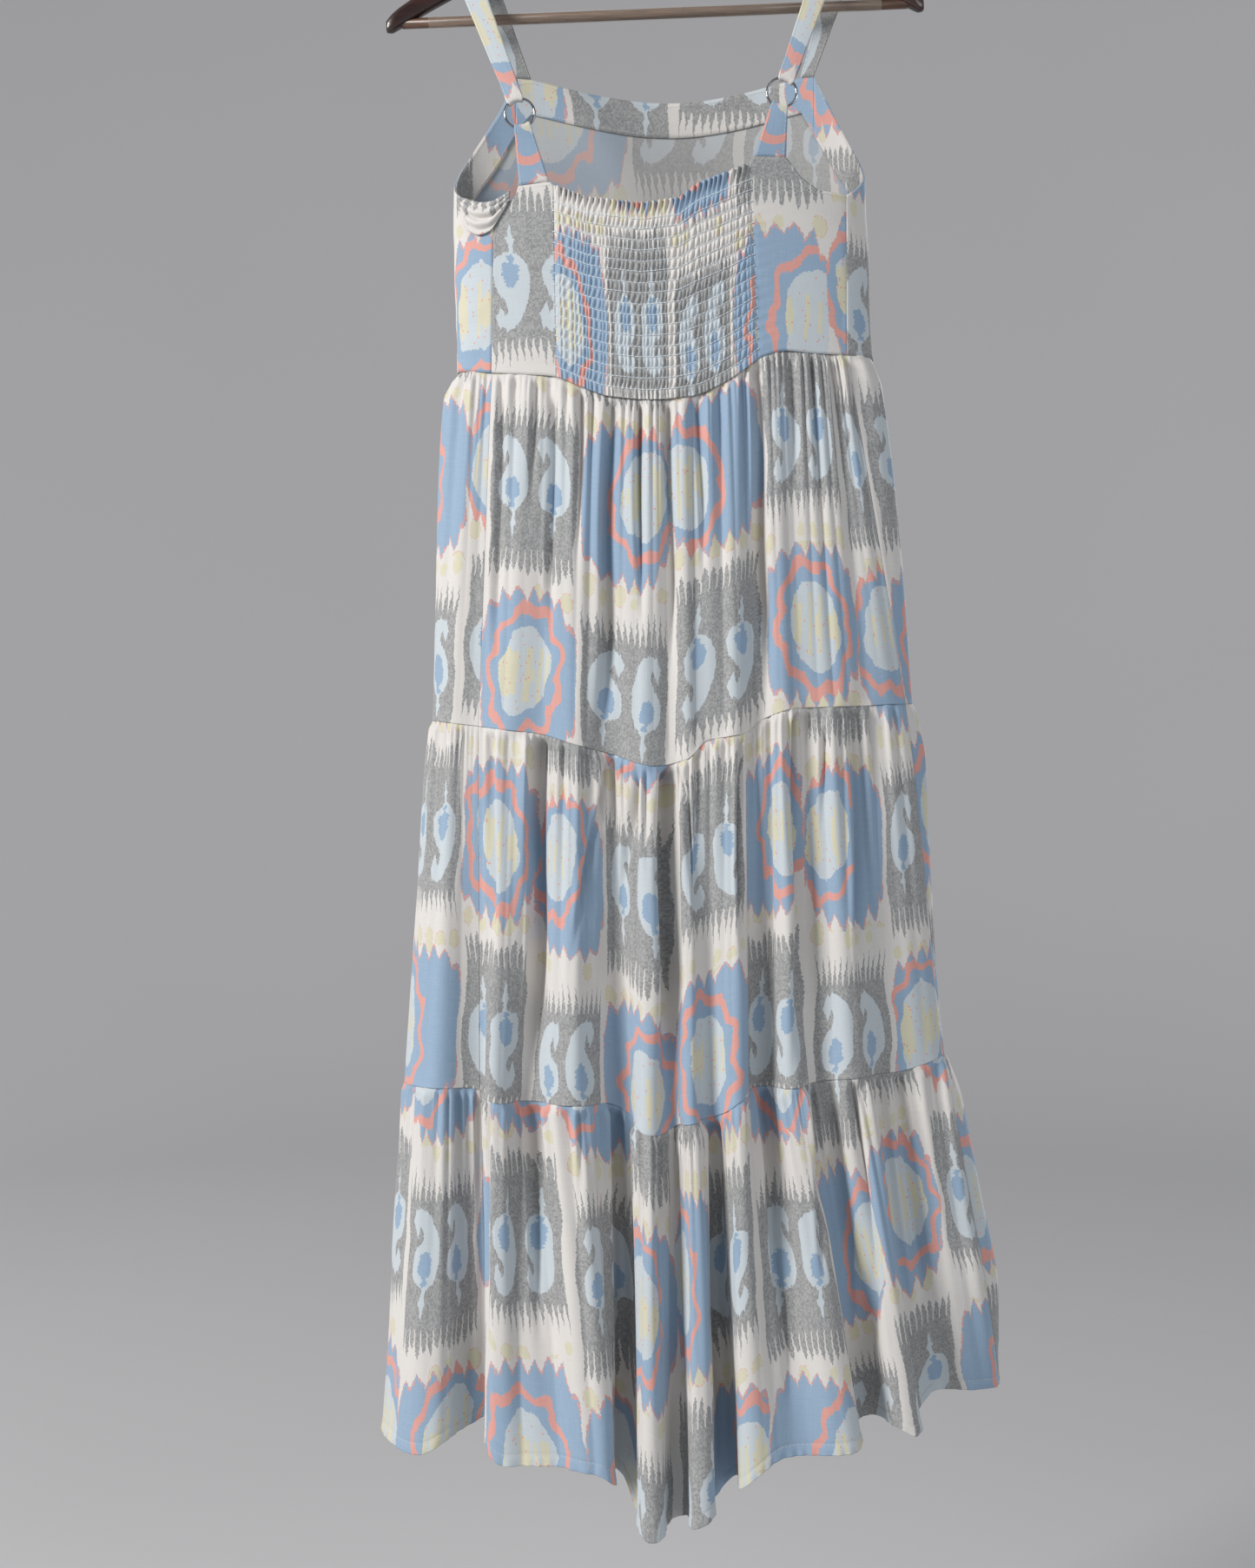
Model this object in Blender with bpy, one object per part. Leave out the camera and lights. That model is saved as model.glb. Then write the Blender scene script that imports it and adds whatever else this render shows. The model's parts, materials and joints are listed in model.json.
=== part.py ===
"""A tiered sundress hung by its straps on a wooden hanger, seen from its smocked back.

Metres, +Z up. The origin is the top of the hollow in the hanger's hook, where a rail holds it. The back of the
dress faces -Y and its left side is at -X. Every panel of cloth is a thin wall on one smooth line that runs round
the dress: a turn of 0 is its left edge, a quarter turn its back, half a turn its right edge. A level counts the
seams: 0 is the waist, 1 and 2 are the seams below the first and second tier, 3 is the hem.
"""

import math
from collections import namedtuple

import bpy
import numpy as np

# Cloth
WALL = 0.0012
GAP = 0.0003
# Across a seam whose two edges are split at different places
SEAM_GAP = 0.0006
FACING_WALL = 0.001
WEBBING = 0.0014

# Hanger, before it tilts about its hook
TILT = math.radians(2.3)
HOOK_WIRE = 0.0035
HOOK_INSIDE_RADIUS = 0.020
NECK_TOP = -0.062
STEM_DEPTH = 0.018
ARM_THICKNESS = 0.013
BAR_Z = -0.1547
BAR_RADIUS = 0.0042
BAR_HALF_LENGTH = 0.2125
GRIP_RADIUS = 0.0052
GRIP_HALF_LENGTH = 0.190
# The tilt carries the bar, and the dress with it, this far right of the hook.
SWAY = -BAR_Z * math.sin(TILT)

# Rings
RING_RADIUS = 0.0121
RING_WIRE = 0.001

# Round the dress
FLATNESS = 0.8
UNDERARM_RISE = 0.155
WAIST_FOLD = 0.0015
GATHER = 0.0016
GATHER_FADE = 0.16
PER_WAVE = 4
TIER_ROWS = (0, 0.05, 0.15, 0.35, 0.65, 1)

Outline = namedtuple("Outline", "level left right back front")
OUTLINES = [
    Outline(-1.70, -0.166, 0.178, 0.044, 0.034),
    Outline(-1.00, -0.169, 0.176, 0.045, 0.036),
    Outline(-0.50, -0.168, 0.180, 0.045, 0.040),
    Outline(0.00, -0.166, 0.183, 0.046, 0.040),
    Outline(0.08, -0.176, 0.191, 0.050, 0.043),
    Outline(0.35, -0.1825, 0.201, 0.054, 0.046),
    Outline(0.70, -0.186, 0.210, 0.058, 0.049),
    Outline(1.00, -0.189, 0.216, 0.062, 0.051),
    Outline(1.15, -0.195, 0.226, 0.067, 0.054),
    Outline(1.45, -0.202, 0.230, 0.073, 0.058),
    Outline(2.00, -0.215, 0.242, 0.085, 0.065),
    Outline(2.12, -0.2175, 0.254, 0.090, 0.069),
    Outline(2.45, -0.2255, 0.2745, 0.098, 0.075),
    Outline(2.70, -0.2295, 0.288, 0.106, 0.080),
    Outline(3.00, -0.2365, 0.287, 0.115, 0.085),
]

# Heights of the seams at both edges, and how far their middle hangs below in front.
Seam = namedtuple("Seam", "left right front_arc")
SEAMS = [
    Seam(-0.458, -0.447, 0.008),
    Seam(-0.749, -0.735, 0.012),
    Seam(-1.0495, -1.025, 0.014),
    Seam(-1.335, -1.297, 0.024),
]

# How far each seam, and at last the hem, hangs below the line between its edges on the back.
Dip = namedtuple("Dip", "x drop")
WAIST_DIPS = [
    Dip(-0.166, 0),
    Dip(-0.135, 0.006),
    Dip(-0.106, 0.010),
    Dip(-0.084, 0.013),
    Dip(-0.059, 0.024),
    Dip(-0.037, 0.032),
    Dip(0.000, 0.036),
    Dip(0.030, 0.034),
    Dip(0.053, 0.025),
    Dip(0.071, 0.014),
    Dip(0.087, 0.003),
    Dip(0.107, -0.002),
    Dip(0.136, 0.000),
    Dip(0.183, 0),
]
FIRST_SEAM_DIPS = [
    Dip(-0.189, 0),
    Dip(-0.145, 0.0075),
    Dip(-0.118, 0.012),
    Dip(-0.095, 0.0155),
    Dip(-0.071, 0.0235),
    Dip(-0.037, 0.034),
    Dip(0.000, 0.045),
    Dip(0.024, 0.041),
    Dip(0.042, 0.026),
    Dip(0.072, 0.021),
    Dip(0.088, 0.010),
    Dip(0.115, 0.002),
    Dip(0.170, 0.0015),
    Dip(0.216, 0),
]
SECOND_SEAM_DIPS = [
    Dip(-0.215, 0),
    Dip(-0.164, 0.003),
    Dip(-0.118, 0.015),
    Dip(-0.083, 0.016),
    Dip(-0.045, 0.019),
    Dip(-0.023, 0.029),
    Dip(-0.009, 0.042),
    Dip(0.002, 0.0435),
    Dip(0.020, 0.037),
    Dip(0.047, 0.033),
    Dip(0.066, 0.021),
    Dip(0.082, 0.0135),
    Dip(0.126, 0.012),
    Dip(0.160, 0.009),
    Dip(0.200, 0.010),
    Dip(0.242, 0),
]
HEM_DIPS = [
    Dip(-0.2365, 0),
    Dip(-0.190, 0.007),
    Dip(-0.165, -0.008),
    Dip(-0.148, -0.014),
    Dip(-0.132, 0.004),
    Dip(-0.120, 0.011),
    Dip(-0.083, 0.014),
    Dip(-0.045, 0.020),
    Dip(-0.030, 0.036),
    Dip(-0.018, 0.063),
    Dip(-0.004, 0.0735),
    Dip(0.012, 0.070),
    Dip(0.034, 0.064),
    Dip(0.050, 0.055),
    Dip(0.062, 0.043),
    Dip(0.078, 0.029),
    Dip(0.100, 0.019),
    Dip(0.130, 0.020),
    Dip(0.155, 0.020),
    Dip(0.174, 0.009),
    Dip(0.190, 0.007),
    Dip(0.205, 0.015),
    Dip(0.222, 0.009),
    Dip(0.242, -0.006),
    Dip(0.287, 0),
]
DIPS = [WAIST_DIPS, FIRST_SEAM_DIPS, SECOND_SEAM_DIPS, HEM_DIPS]

# The large folds, round the dress: x at the waist, at both tier seams and at the hem, then how deep they lie
# there. A crest has no depth. "round" is the back face again, past the left edge.
Fold = namedtuple("Fold", "face waist seam1 seam2 hem deep1 deep2 deep3")
BACK_FOLDS = [
    Fold("back", -0.135, -0.147, -0.150, -0.1485, 0.006, 0.022, 0.045),
    Fold("back", -0.112, -0.122, -0.131, -0.128, 0, 0, 0),
    Fold("back", -0.090, -0.0955, -0.111, -0.083, 0.006, 0.024, 0.008),
    Fold("back", -0.060, -0.066, -0.068, -0.045, 0, 0, 0),
    Fold("back", -0.032, -0.0367, -0.030, -0.0255, 0.012, 0.030, 0.045),
    Fold("back", -0.010, -0.011, -0.006, -0.004, 0, 0, 0),
    Fold("back", 0.010, 0.0145, 0.0145, 0.0173, 0.006, 0.014, 0.036),
    Fold("back", 0.025, 0.028, 0.028, 0.035, 0, 0, 0),
    Fold("back", 0.040, 0.0418, 0.042, 0.056, 0.005, 0.016, 0.042),
    Fold("back", 0.058, 0.063, 0.064, 0.076, 0, 0, 0),
    Fold("back", 0.075, 0.084, 0.0864, 0.113, 0.012, 0.028, 0.010),
    Fold("back", 0.096, 0.105, 0.110, 0.152, 0, 0, 0),
    Fold("back", 0.115, 0.125, 0.132, 0.1775, 0.005, 0.016, 0.042),
    Fold("back", 0.129, 0.148, 0.160, 0.204, 0, 0, 0),
    Fold("back", 0.142, 0.170, 0.189, 0.226, 0.004, 0.014, 0.030),
    Fold("back", 0.158, 0.207, 0.2385, 0.2830, 0, 0, 0),
]
FRONT_FOLDS = [
    BACK_FOLDS[-1],
    Fold("front", 0.150, 0.172, 0.190, 0.232, 0.005, 0.016, 0.030),
    Fold("front", 0.122, 0.138, 0.152, 0.190, 0, 0, 0),
    Fold("front", 0.095, 0.106, 0.118, 0.150, 0.009, 0.022, 0.036),
    Fold("front", 0.072, 0.080, 0.088, 0.106, 0, 0, 0),
    Fold("front", 0.045, 0.052, 0.056, 0.060, 0.006, 0.018, 0.034),
    Fold("front", 0.020, 0.022, 0.022, 0.020, 0, 0, 0),
    Fold("front", -0.006, -0.010, -0.012, -0.022, 0.010, 0.024, 0.038),
    Fold("front", -0.032, -0.036, -0.042, -0.062, 0, 0, 0),
    Fold("front", -0.060, -0.068, -0.076, -0.102, 0.005, 0.016, 0.032),
    Fold("front", -0.088, -0.098, -0.110, -0.140, 0, 0, 0),
    Fold("front", -0.114, -0.130, -0.144, -0.176, 0.007, 0.020, 0.030),
    Fold("front", -0.140, -0.160, -0.178, -0.210, 0, 0, 0),
    Fold("left", 0, 0, 0, 0, 0.003, 0.006, 0.010),
    Fold("round", -0.152, -0.170, -0.184, -0.192, 0, 0, 0),
    BACK_FOLDS[0]._replace(face="round"),
]

# The front's upper edge, from the right side seam over the front to the left one. "facing" is how far the band
# turned in along it reaches down, and "columns" counts the strips of cloth to the next row.
Edge = namedtuple("Edge", "face x z facing columns")
RIGHT_ARMHOLE = [
    Edge("back", 0.158, -0.315, 0.022, 4),
    Edge("right", 0, -0.290, 0.026, 3),
    Edge("front", 0.172, -0.274, 0.040, 2),
    Edge("front", 0.158, -0.2436, 0.046, 3),
    Edge("front", 0.136, -0.199, 0.050, 2),
]
NECKLINE = [
    Edge("front", 0.1248, -0.199, 0.030, 6),
    Edge("front", 0.012, -0.2175, 0.030, 6),
    Edge("front", -0.1053, -0.200, 0.030, 2),
]
LEFT_ARMHOLE = [
    Edge("front", -0.1187, -0.200, 0.050, 3),
    Edge("front", -0.136, -0.2346, 0.046, 2),
    Edge("front", -0.159, -0.2736, 0.040, 3),
    Edge("left", 0, -0.300, 0.026, 4),
    Edge("round", -0.133, -0.329, 0.022, 0),
]
FRONT_ROWS = 4

# The back's upper edge and its seams.
SMOCK_LEFT = (-0.0835, -0.081)
SMOCK_RIGHT = (0.0765, 0.084)
SEAM_LEFT = (-0.133, -0.135)
SEAM_RIGHT = (0.158, 0.158)
Top = namedtuple("Top", "x z")
SIDE_LEFT_TOP = [
    Top(-0.133, -0.329),
    Top(-0.1154, -0.321),
    Top(-0.1126, -0.311),
    Top(-0.0864, -0.309),
    Top(-0.0835, -0.312),
]
SMOCK_TOP = [
    Top(-0.0835, -0.312),
    Top(-0.0566, -0.3227),
    Top(-0.0127, -0.3283),
    Top(0.0191, -0.324),
    Top(0.034, -0.312),
    Top(0.0765, -0.2945),
]
SIDE_RIGHT_TOP = [
    Top(0.0765, -0.2945),
    Top(0.0800, -0.2887),
    Top(0.1076, -0.2887),
    Top(0.119, -0.3036),
    Top(0.134, -0.3135),
    Top(0.158, -0.315),
]

# Smocking: rows of elastic that draw the cloth in, with puckers between them
ELASTIC_ROWS = 17
ELASTIC_PITCH = 0.0085
SMOCK_HEADER = 0.013
SMOCK_HEIGHT = 0.157
PUCKERS = 21
PUCKER_HEIGHT = 0.0016
PUCKER_WAVE = 0.0008

# Where each strap crosses its arm behind and in front, where its ring hangs, and where its ends are sewn.
Hang = namedtuple("Hang", "side arm_back arm_front ring_x ring_z sewn_left sewn_right sewn_z tab_left tab_right")
HANGS = [
    Hang("left", -0.157, -0.145, -0.111, -0.254, -0.1187, -0.1053, -0.200, -0.1120, -0.0870),
    Hang("right", 0.149, 0.160, 0.103, -0.237, 0.1248, 0.136, -0.199, 0.0805, 0.1070),
]
RING_Y = -0.042
STRAP_WIDTH = 0.020
LOOP_HALF_ANGLE = math.radians(33)
STRAP_LAP = 0.020
TAB_LAP = 0.014
ACROSS = np.linspace(-1, 1, 4)

Arm = namedtuple("Arm", "x top height")
ARM = [
    Arm(0.000, -0.062, 0.030),
    Arm(0.022, -0.063, 0.030),
    Arm(0.050, -0.070, 0.027),
    Arm(0.100, -0.084, 0.025),
    Arm(0.150, -0.1045, 0.022),
    Arm(0.185, -0.123, 0.020),
    Arm(0.203, -0.1347, 0.0178),
    Arm(0.220, -0.1465, 0.0150),
]
ARM_TIP = Arm(0.2255, -0.1525, 0.009)

COTTON = (0.36, 0.42, 0.50)
COTTON_INSIDE = (0.55, 0.55, 0.55)
WOOD = (0.030, 0.010, 0.007)
BAR_WOOD = (0.14, 0.08, 0.045)
CLEAR = (0.75, 0.72, 0.66)
SILVER = (0.62, 0.62, 0.63)


def through(x, knots, values):
    """A smooth line through a table's values, which never overshoots between two of them."""
    knots, values = np.asarray(knots, float), np.asarray(values, float)
    slopes = np.diff(values) / np.diff(knots)
    before, after = slopes[:-1], slopes[1:]
    same = before * after > 0
    bends = np.concatenate([slopes[:1], np.zeros(len(knots) - 2), slopes[-1:]])
    bends[1:-1][same] = 2 * before[same] * after[same] / (before + after)[same]
    i = np.clip(np.searchsorted(knots, x) - 1, 0, len(knots) - 2)
    span = knots[i + 1] - knots[i]
    t = np.clip((x - knots[i]) / span, 0, 1)
    start = (1 + 2 * t) * (1 - t) ** 2 * values[i] + t * (1 - t) ** 2 * span * bends[i]
    return start + t * t * (3 - 2 * t) * values[i + 1] + t * t * (t - 1) * span * bends[i + 1]


def outline(level):
    """The left and right edges and the half depths of the dress at a level."""
    levels = [row.level for row in OUTLINES]
    return [through(level, levels, [getattr(row, side) for row in OUTLINES]) for side in Outline._fields[1:]]


def base_line(turn, level):
    left, right, back, front = outline(level)
    swing = np.sin(turn)
    x = SWAY + (left + right) / 2 - (right - left) / 2 * np.cos(turn)
    y = -np.sign(swing) * np.where(swing > 0, back, front) * np.abs(swing) ** FLATNESS
    return x, y


def base_frame(turn, level):
    """The point on the smooth line, and the unit vectors along it and out of it."""
    step = 1e-3
    x, y = base_line(turn, level)
    ahead, behind = base_line(turn + step, level), base_line(turn - step, level)
    along = np.stack([ahead[0] - behind[0], ahead[1] - behind[1], np.zeros_like(x)], -1)
    along /= np.linalg.norm(along, axis=-1, keepdims=True)
    out = np.stack([along[..., 1], -along[..., 0], np.zeros_like(x)], -1)
    return np.stack([x, y, np.zeros_like(x)], -1), along, out


def turn_of(x, level, face="back"):
    """The turn at which the line passes x, which is measured from the bar's middle."""
    if face in ("left", "right"):
        return 2 * math.pi if face == "left" else math.pi
    left, right, _, _ = outline(level)
    turn = np.arccos(np.clip(((left + right) / 2 - x) / ((right - left) / 2), -1, 1))
    return {"back": turn, "front": 2 * math.pi - turn, "round": 2 * math.pi + turn}[face]


def seam_height(number, turn):
    row = SEAMS[number]
    x, _ = base_line(turn, number)
    edge = row.left + (row.right - row.left) * (1 - np.cos(turn)) / 2
    swing = np.sin(turn)
    back = through(x - SWAY, [dip.x for dip in DIPS[number]], [dip.drop for dip in DIPS[number]])
    return edge - np.where(swing > 0, back, -row.front_arc * swing)


def skirt_height(level, turn):
    tier = min(int(level), 2)
    share = level - tier
    return seam_height(tier, turn) * (1 - share) + seam_height(tier + 1, turn) * share


# How a strip of cloth bends from a crest into the next trough: its slope swings out to a largest angle and back.
STRIP = np.linspace(0, 1, 49)
SWINGS = np.linspace(0, 2.0, 101)
STEEPNESS = [np.sin(s * np.sin(math.pi * STRIP)).sum() / np.cos(s * np.sin(math.pi * STRIP)).sum() for s in SWINGS]


def bend(steepness, share):
    """Slope, run and rise at shares of the strip's length, for a total rise over run of this steepness."""
    swing = np.interp(steepness, STEEPNESS, SWINGS)
    slope = swing * np.sin(math.pi * STRIP)
    run, rise = (np.concatenate([[0], np.cumsum((f[1:] + f[:-1]) / 2)]) for f in (np.cos(slope), np.sin(slope)))
    rise = rise / rise[-1] if rise[-1] > 0 else STRIP
    return tuple(np.interp(share, STRIP, line) for line in (slope, run / run[-1], rise))


def folded_row(level, folds):
    """The points and outward directions of one row of a skirt panel."""
    levels = range(4)
    turns = np.linspace(0, 4 * math.pi, 1441)
    x, y = base_line(turns, level)
    ways = np.concatenate([[0], np.cumsum(np.hypot(np.diff(x), np.diff(y)))])
    stops = []
    for fold in folds:
        at = np.interp(level, levels, [fold.waist, fold.seam1, fold.seam2, fold.hem])
        first = WAIST_FOLD if fold.deep1 else 0
        deep = np.interp(level, levels, [first, fold.deep1, fold.deep2, fold.deep3])
        stops.append((np.interp(turn_of(at, level, fold.face), turns, ways), -deep))
    rows = []
    for (way, out), (next_way, next_out) in zip(stops, stops[1:]):
        shares = np.arange(PER_WAVE) / PER_WAVE
        slope, run, rise = bend(abs(next_out - out) / (next_way - way), shares)
        slope = slope * np.sign(next_out - out)
        rows.append(np.stack([way + run * (next_way - way), out + rise * (next_out - out), slope], -1))
    rows.append(np.array([[*stops[-1], 0]]))
    way, out, slope = np.concatenate(rows).T
    turn = np.interp(way, ways, turns)
    point, along, outward = base_frame(turn, level)
    point = point + outward * out[:, None]
    point[:, 2] = skirt_height(level, turn)
    facing = outward * np.cos(slope)[:, None] - along * np.sin(slope)[:, None]
    return point, facing


def trimmed(grid, outward):
    """The grid with its two side edges drawn in by half a seam gap, along the line round the dress."""
    grid = grid.copy()
    along = np.stack([-outward[..., 1], outward[..., 0], np.zeros(outward.shape[:2])], -1)
    grid[:, 0] += along[:, 0] * GAP / 2
    grid[:, -1] -= along[:, -1] * GAP / 2
    return grid


def skirt_grid(tier, folds):
    rows = [folded_row(tier + share, folds) for share in TIER_ROWS]
    points = np.array([row[0] for row in rows])
    facing = np.array([row[1] for row in rows])
    gathers = GATHER * (-1.0) ** np.arange(points.shape[1])
    gathers[[0, -1]] = 0
    fade = np.exp(-np.array(TIER_ROWS) / GATHER_FADE)
    points += facing * gathers[None, :, None] * fade[:, None, None]
    points[0, :, 2] -= SEAM_GAP / 2
    if tier < 2:
        points[-1, :, 2] += SEAM_GAP / 2
    return trimmed(points, facing), facing


def bodice_at(turn, z):
    level = (seam_height(0, turn) - z) / -UNDERARM_RISE
    point, _, outward = base_frame(turn, -np.abs(level))
    point[..., 2] = z
    return point, outward


def back_at(x, z):
    """The point of the back at x, measured from the bar's middle, and height z."""
    level = -np.abs(seam_height(0, turn_of(x, 0.0)) - z) / UNDERARM_RISE
    return bodice_at(turn_of(x, level), z)


def back_grid(left, right, top, columns, rows):
    """A panel of the back. left and right are its edges at the top and at the waist, and rows run down from 0 to 1."""
    across = np.linspace(0, 1, columns + 1)[None, :]
    down = np.asarray(rows)[:, None]
    x = (left[0] + (left[1] - left[0]) * down) * (1 - across) + (right[0] + (right[1] - right[0]) * down) * across
    top_z = np.interp(x, [row.x for row in top], [row.z for row in top])
    low_z = seam_height(0, turn_of(x, 0.0)) + SEAM_GAP / 2
    points, outward = back_at(x, top_z + (low_z - top_z) * down)
    return trimmed(points, outward), outward


def front_columns(edges):
    """The turn, height and facing depth of each strip's edge along part of the front's upper edge."""
    turns = [turn_of(row.x, -abs(row.z - SEAMS[0].left) / UNDERARM_RISE, row.face) for row in edges]
    stops = [np.linspace(a, b, row.columns + 1)[:-1] for a, b, row in zip(turns, turns[1:], edges)]
    stops = np.concatenate([*stops, turns[-1:]])
    return stops, through(stops, turns, [row.z for row in edges]), np.interp(stops, turns, [r.facing for r in edges])


def front_grid():
    """The front bodice, whose last band lies over the facings, and the first and last column of its neckline."""
    parts = [RIGHT_ARMHOLE, RIGHT_ARMHOLE[-1:] + NECKLINE[:1], NECKLINE, NECKLINE[-1:] + LEFT_ARMHOLE[:1], LEFT_ARMHOLE]
    lines = [front_columns(part) for part in parts]
    turn, top, facing = (np.concatenate([line[i][:-1] for line in lines] + [lines[-1][i][-1:]]) for i in range(3))
    neck = len(lines[0][0]) - 1, len(turn) - len(lines[-1][0])
    low = seam_height(0, turn) + SEAM_GAP / 2
    band = top - facing
    heights = np.array([low + (band - low) * share for share in np.linspace(0, 1, FRONT_ROWS + 1)] + [top])
    # The panel's ends follow the side seams of the back, and its other columns keep their share between them.
    start = seam_turn(SEAM_RIGHT, "back", heights[:, 0])
    finish = seam_turn(SEAM_LEFT, "round", heights[:, -1])
    across = (turn - turn[0]) / (turn[-1] - turn[0])
    turns = start[:, None] + across * (finish - start)[:, None]
    heights[0] = seam_height(0, turns[0]) + SEAM_GAP / 2
    points, outward = bodice_at(turns, heights)
    return points, outward, neck


def seam_turn(seam, face, z):
    """The turn of a side seam, which runs from its x at the top to its x at the waist, at heights that rise."""
    down = (z[-1] - z) / (z[-1] - z[0])
    x = seam[0] + (seam[1] - seam[0]) * down
    level = -np.abs(seam_height(0, turn_of(x, 0.0)) - z) / UNDERARM_RISE
    return turn_of(x, level, face)


def stitched(outer, inner):
    """Triangles between two lines of vertex numbers that share their ends' places and differ in their counts."""
    faces, i, j = [], 0, 0
    while i < len(outer) - 1 or j < len(inner) - 1:
        ahead_outer = (i + 1) / (len(outer) - 1) if i < len(outer) - 1 else 2
        ahead_inner = (j + 1) / (len(inner) - 1) if j < len(inner) - 1 else 2
        if ahead_outer <= ahead_inner:
            faces.append((outer[i], outer[i + 1], inner[j]))
            i += 1
        else:
            faces.append((outer[i], inner[j + 1], inner[j]))
            j += 1
    return faces


def wall(name, outer, inner, material):
    """A closed solid between two grids of points, with both sheets split along the same diagonals."""
    vertices, faces, rims = [], [], []
    for grid in (outer, inner):
        rows, columns = grid.shape[:2]
        number = np.arange(rows * columns).reshape(rows, columns) + len(vertices)
        vertices.extend(grid.reshape(-1, 3).tolist())
        for r in range(rows - 1):
            for c in range(columns - 1):
                a, b, d, e = number[r, c], number[r, c + 1], number[r + 1, c], number[r + 1, c + 1]
                faces += [(a, b, e), (a, e, d)]
        rims.append([number[0], number[:, -1], number[-1, ::-1], number[::-1, 0]])
    for outer_side, inner_side in zip(*rims):
        faces += stitched(outer_side, inner_side)
    return finished(name, vertices, faces, material)


def finished(name, vertices, faces, material):
    """An object of these faces, turned to face out."""
    mesh = bpy.data.meshes.new(name)
    mesh.from_pydata(vertices, [], [[int(v) for v in face] for face in faces])
    mesh.materials.append(material)
    thing = bpy.data.objects.new(name, mesh)
    bpy.context.collection.objects.link(thing)
    bpy.context.view_layer.objects.active = thing
    thing.select_set(True)
    bpy.ops.object.mode_set(mode="EDIT")
    bpy.ops.mesh.select_all(action="SELECT")
    bpy.ops.mesh.normals_make_consistent(inside=False)
    bpy.ops.object.mode_set(mode="OBJECT")
    thing.select_set(False)
    return thing


def ribbon(name, grid, thickness, material):
    """A strip of webbing, half its thickness on both sides of the grid."""
    along = np.gradient(grid, axis=0)
    across = np.gradient(grid, axis=1)
    out = np.cross(along, across)
    out /= np.linalg.norm(out, axis=-1, keepdims=True)
    return wall(name, grid + out * thickness / 2, grid - out * thickness / 2, material)


def material(name, colour, roughness, metallic=0.0, alpha=1.0):
    made = bpy.data.materials.new(name)
    made.use_nodes = True
    shader = made.node_tree.nodes["Principled BSDF"]
    shader.inputs["Base Color"].default_value = (*colour, 1)
    shader.inputs["Roughness"].default_value = roughness
    shader.inputs["Metallic"].default_value = metallic
    shader.inputs["Alpha"].default_value = alpha
    return made


def make_skirt():
    cotton = material("printed_cotton", COTTON, 0.9)
    for tier in range(3):
        for side, folds in (("back", BACK_FOLDS), ("front", FRONT_FOLDS)):
            points, facing = skirt_grid(tier, folds)
            wall(f"tier{tier + 1}_{side}", points, points - facing * WALL, cotton)


def make_side_backs():
    cotton = material("bodice_cotton", COTTON, 0.9)
    rows = np.linspace(0, 1, 6)
    for name, left, right, top, columns in (
        ("side_back_left", SEAM_LEFT, SMOCK_LEFT, SIDE_LEFT_TOP, 10),
        ("side_back_right", SMOCK_RIGHT, SEAM_RIGHT, SIDE_RIGHT_TOP, 14),
    ):
        points, outward = back_grid(left, right, top, columns, rows)
        wall(name, points, points - outward * WALL, cotton)


def make_smocking():
    """Raises the puckers in the panel's outer points, over a plain inside."""
    cotton = material("smocked_cotton", COTTON, 0.9)
    first = SMOCK_HEADER / SMOCK_HEIGHT
    pitch = ELASTIC_PITCH / SMOCK_HEIGHT
    smocked = [first + step * pitch / 2 for step in range(2 * ELASTIC_ROWS - 1)]
    rows = [0, first / 2, *smocked, (smocked[-1] + 1) / 2, 1]
    columns = 2 * PUCKERS
    points, outward = back_grid(SMOCK_LEFT, SMOCK_RIGHT, SMOCK_TOP, columns, rows)
    # Each row's height: the header stands out, the elastic lies low, and the band above the seam is calm.
    middle = [PUCKER_WAVE if step % 2 == 0 else PUCKER_HEIGHT for step in range(len(smocked))]
    height = np.array([PUCKER_HEIGHT, PUCKER_HEIGHT, *middle, PUCKER_HEIGHT / 2, 0])
    wave = np.array([2, 1.5, *[0.3 if step % 2 == 0 else 1 for step in range(len(smocked))], 0.6, 0])
    rise = height[:, None] + PUCKER_WAVE * wave[:, None] * (-1.0) ** np.arange(columns + 1)[None, :]
    rise[:, [0, -1]] = 0
    inside, inside_outward = back_grid(SMOCK_LEFT, SMOCK_RIGHT, SMOCK_TOP, 14, np.linspace(0, 1, 5))
    wall("back_smock_panel", points + outward * rise[..., None], inside - inside_outward * WALL, cotton)


def make_front():
    cotton = material("front_cotton", COTTON, 0.9)
    facing_cotton = material("facing_cotton", COTTON_INSIDE, 0.9)
    points, outward, neck = front_grid()
    outer = trimmed(points, outward)
    wall("front_bodice", outer, points_in(outer, outward, WALL), cotton)
    for name, first, last in (
        ("armhole_facing_right", 0, neck[0]),
        ("front_neck_facing", neck[0], neck[1]),
        ("armhole_facing_left", neck[1], points.shape[1] - 1),
    ):
        out = outward[-2:, first : last + 1]
        outer = points_in(trimmed(points[-2:, first : last + 1], out), out, WALL + GAP)
        wall(name, outer, points_in(outer, out, FACING_WALL), facing_cotton)


def points_in(points, outward, depth):
    return points - outward * depth


def tilted(point):
    """A point of the upright hanger, where the tilt about the hook carries it."""
    x, y, z = point
    return np.array([x * math.cos(TILT) - z * math.sin(TILT), y, x * math.sin(TILT) + z * math.cos(TILT)])


def arm_top(x):
    return through(abs(x), [row.x for row in ARM], [row.top for row in ARM])


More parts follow.
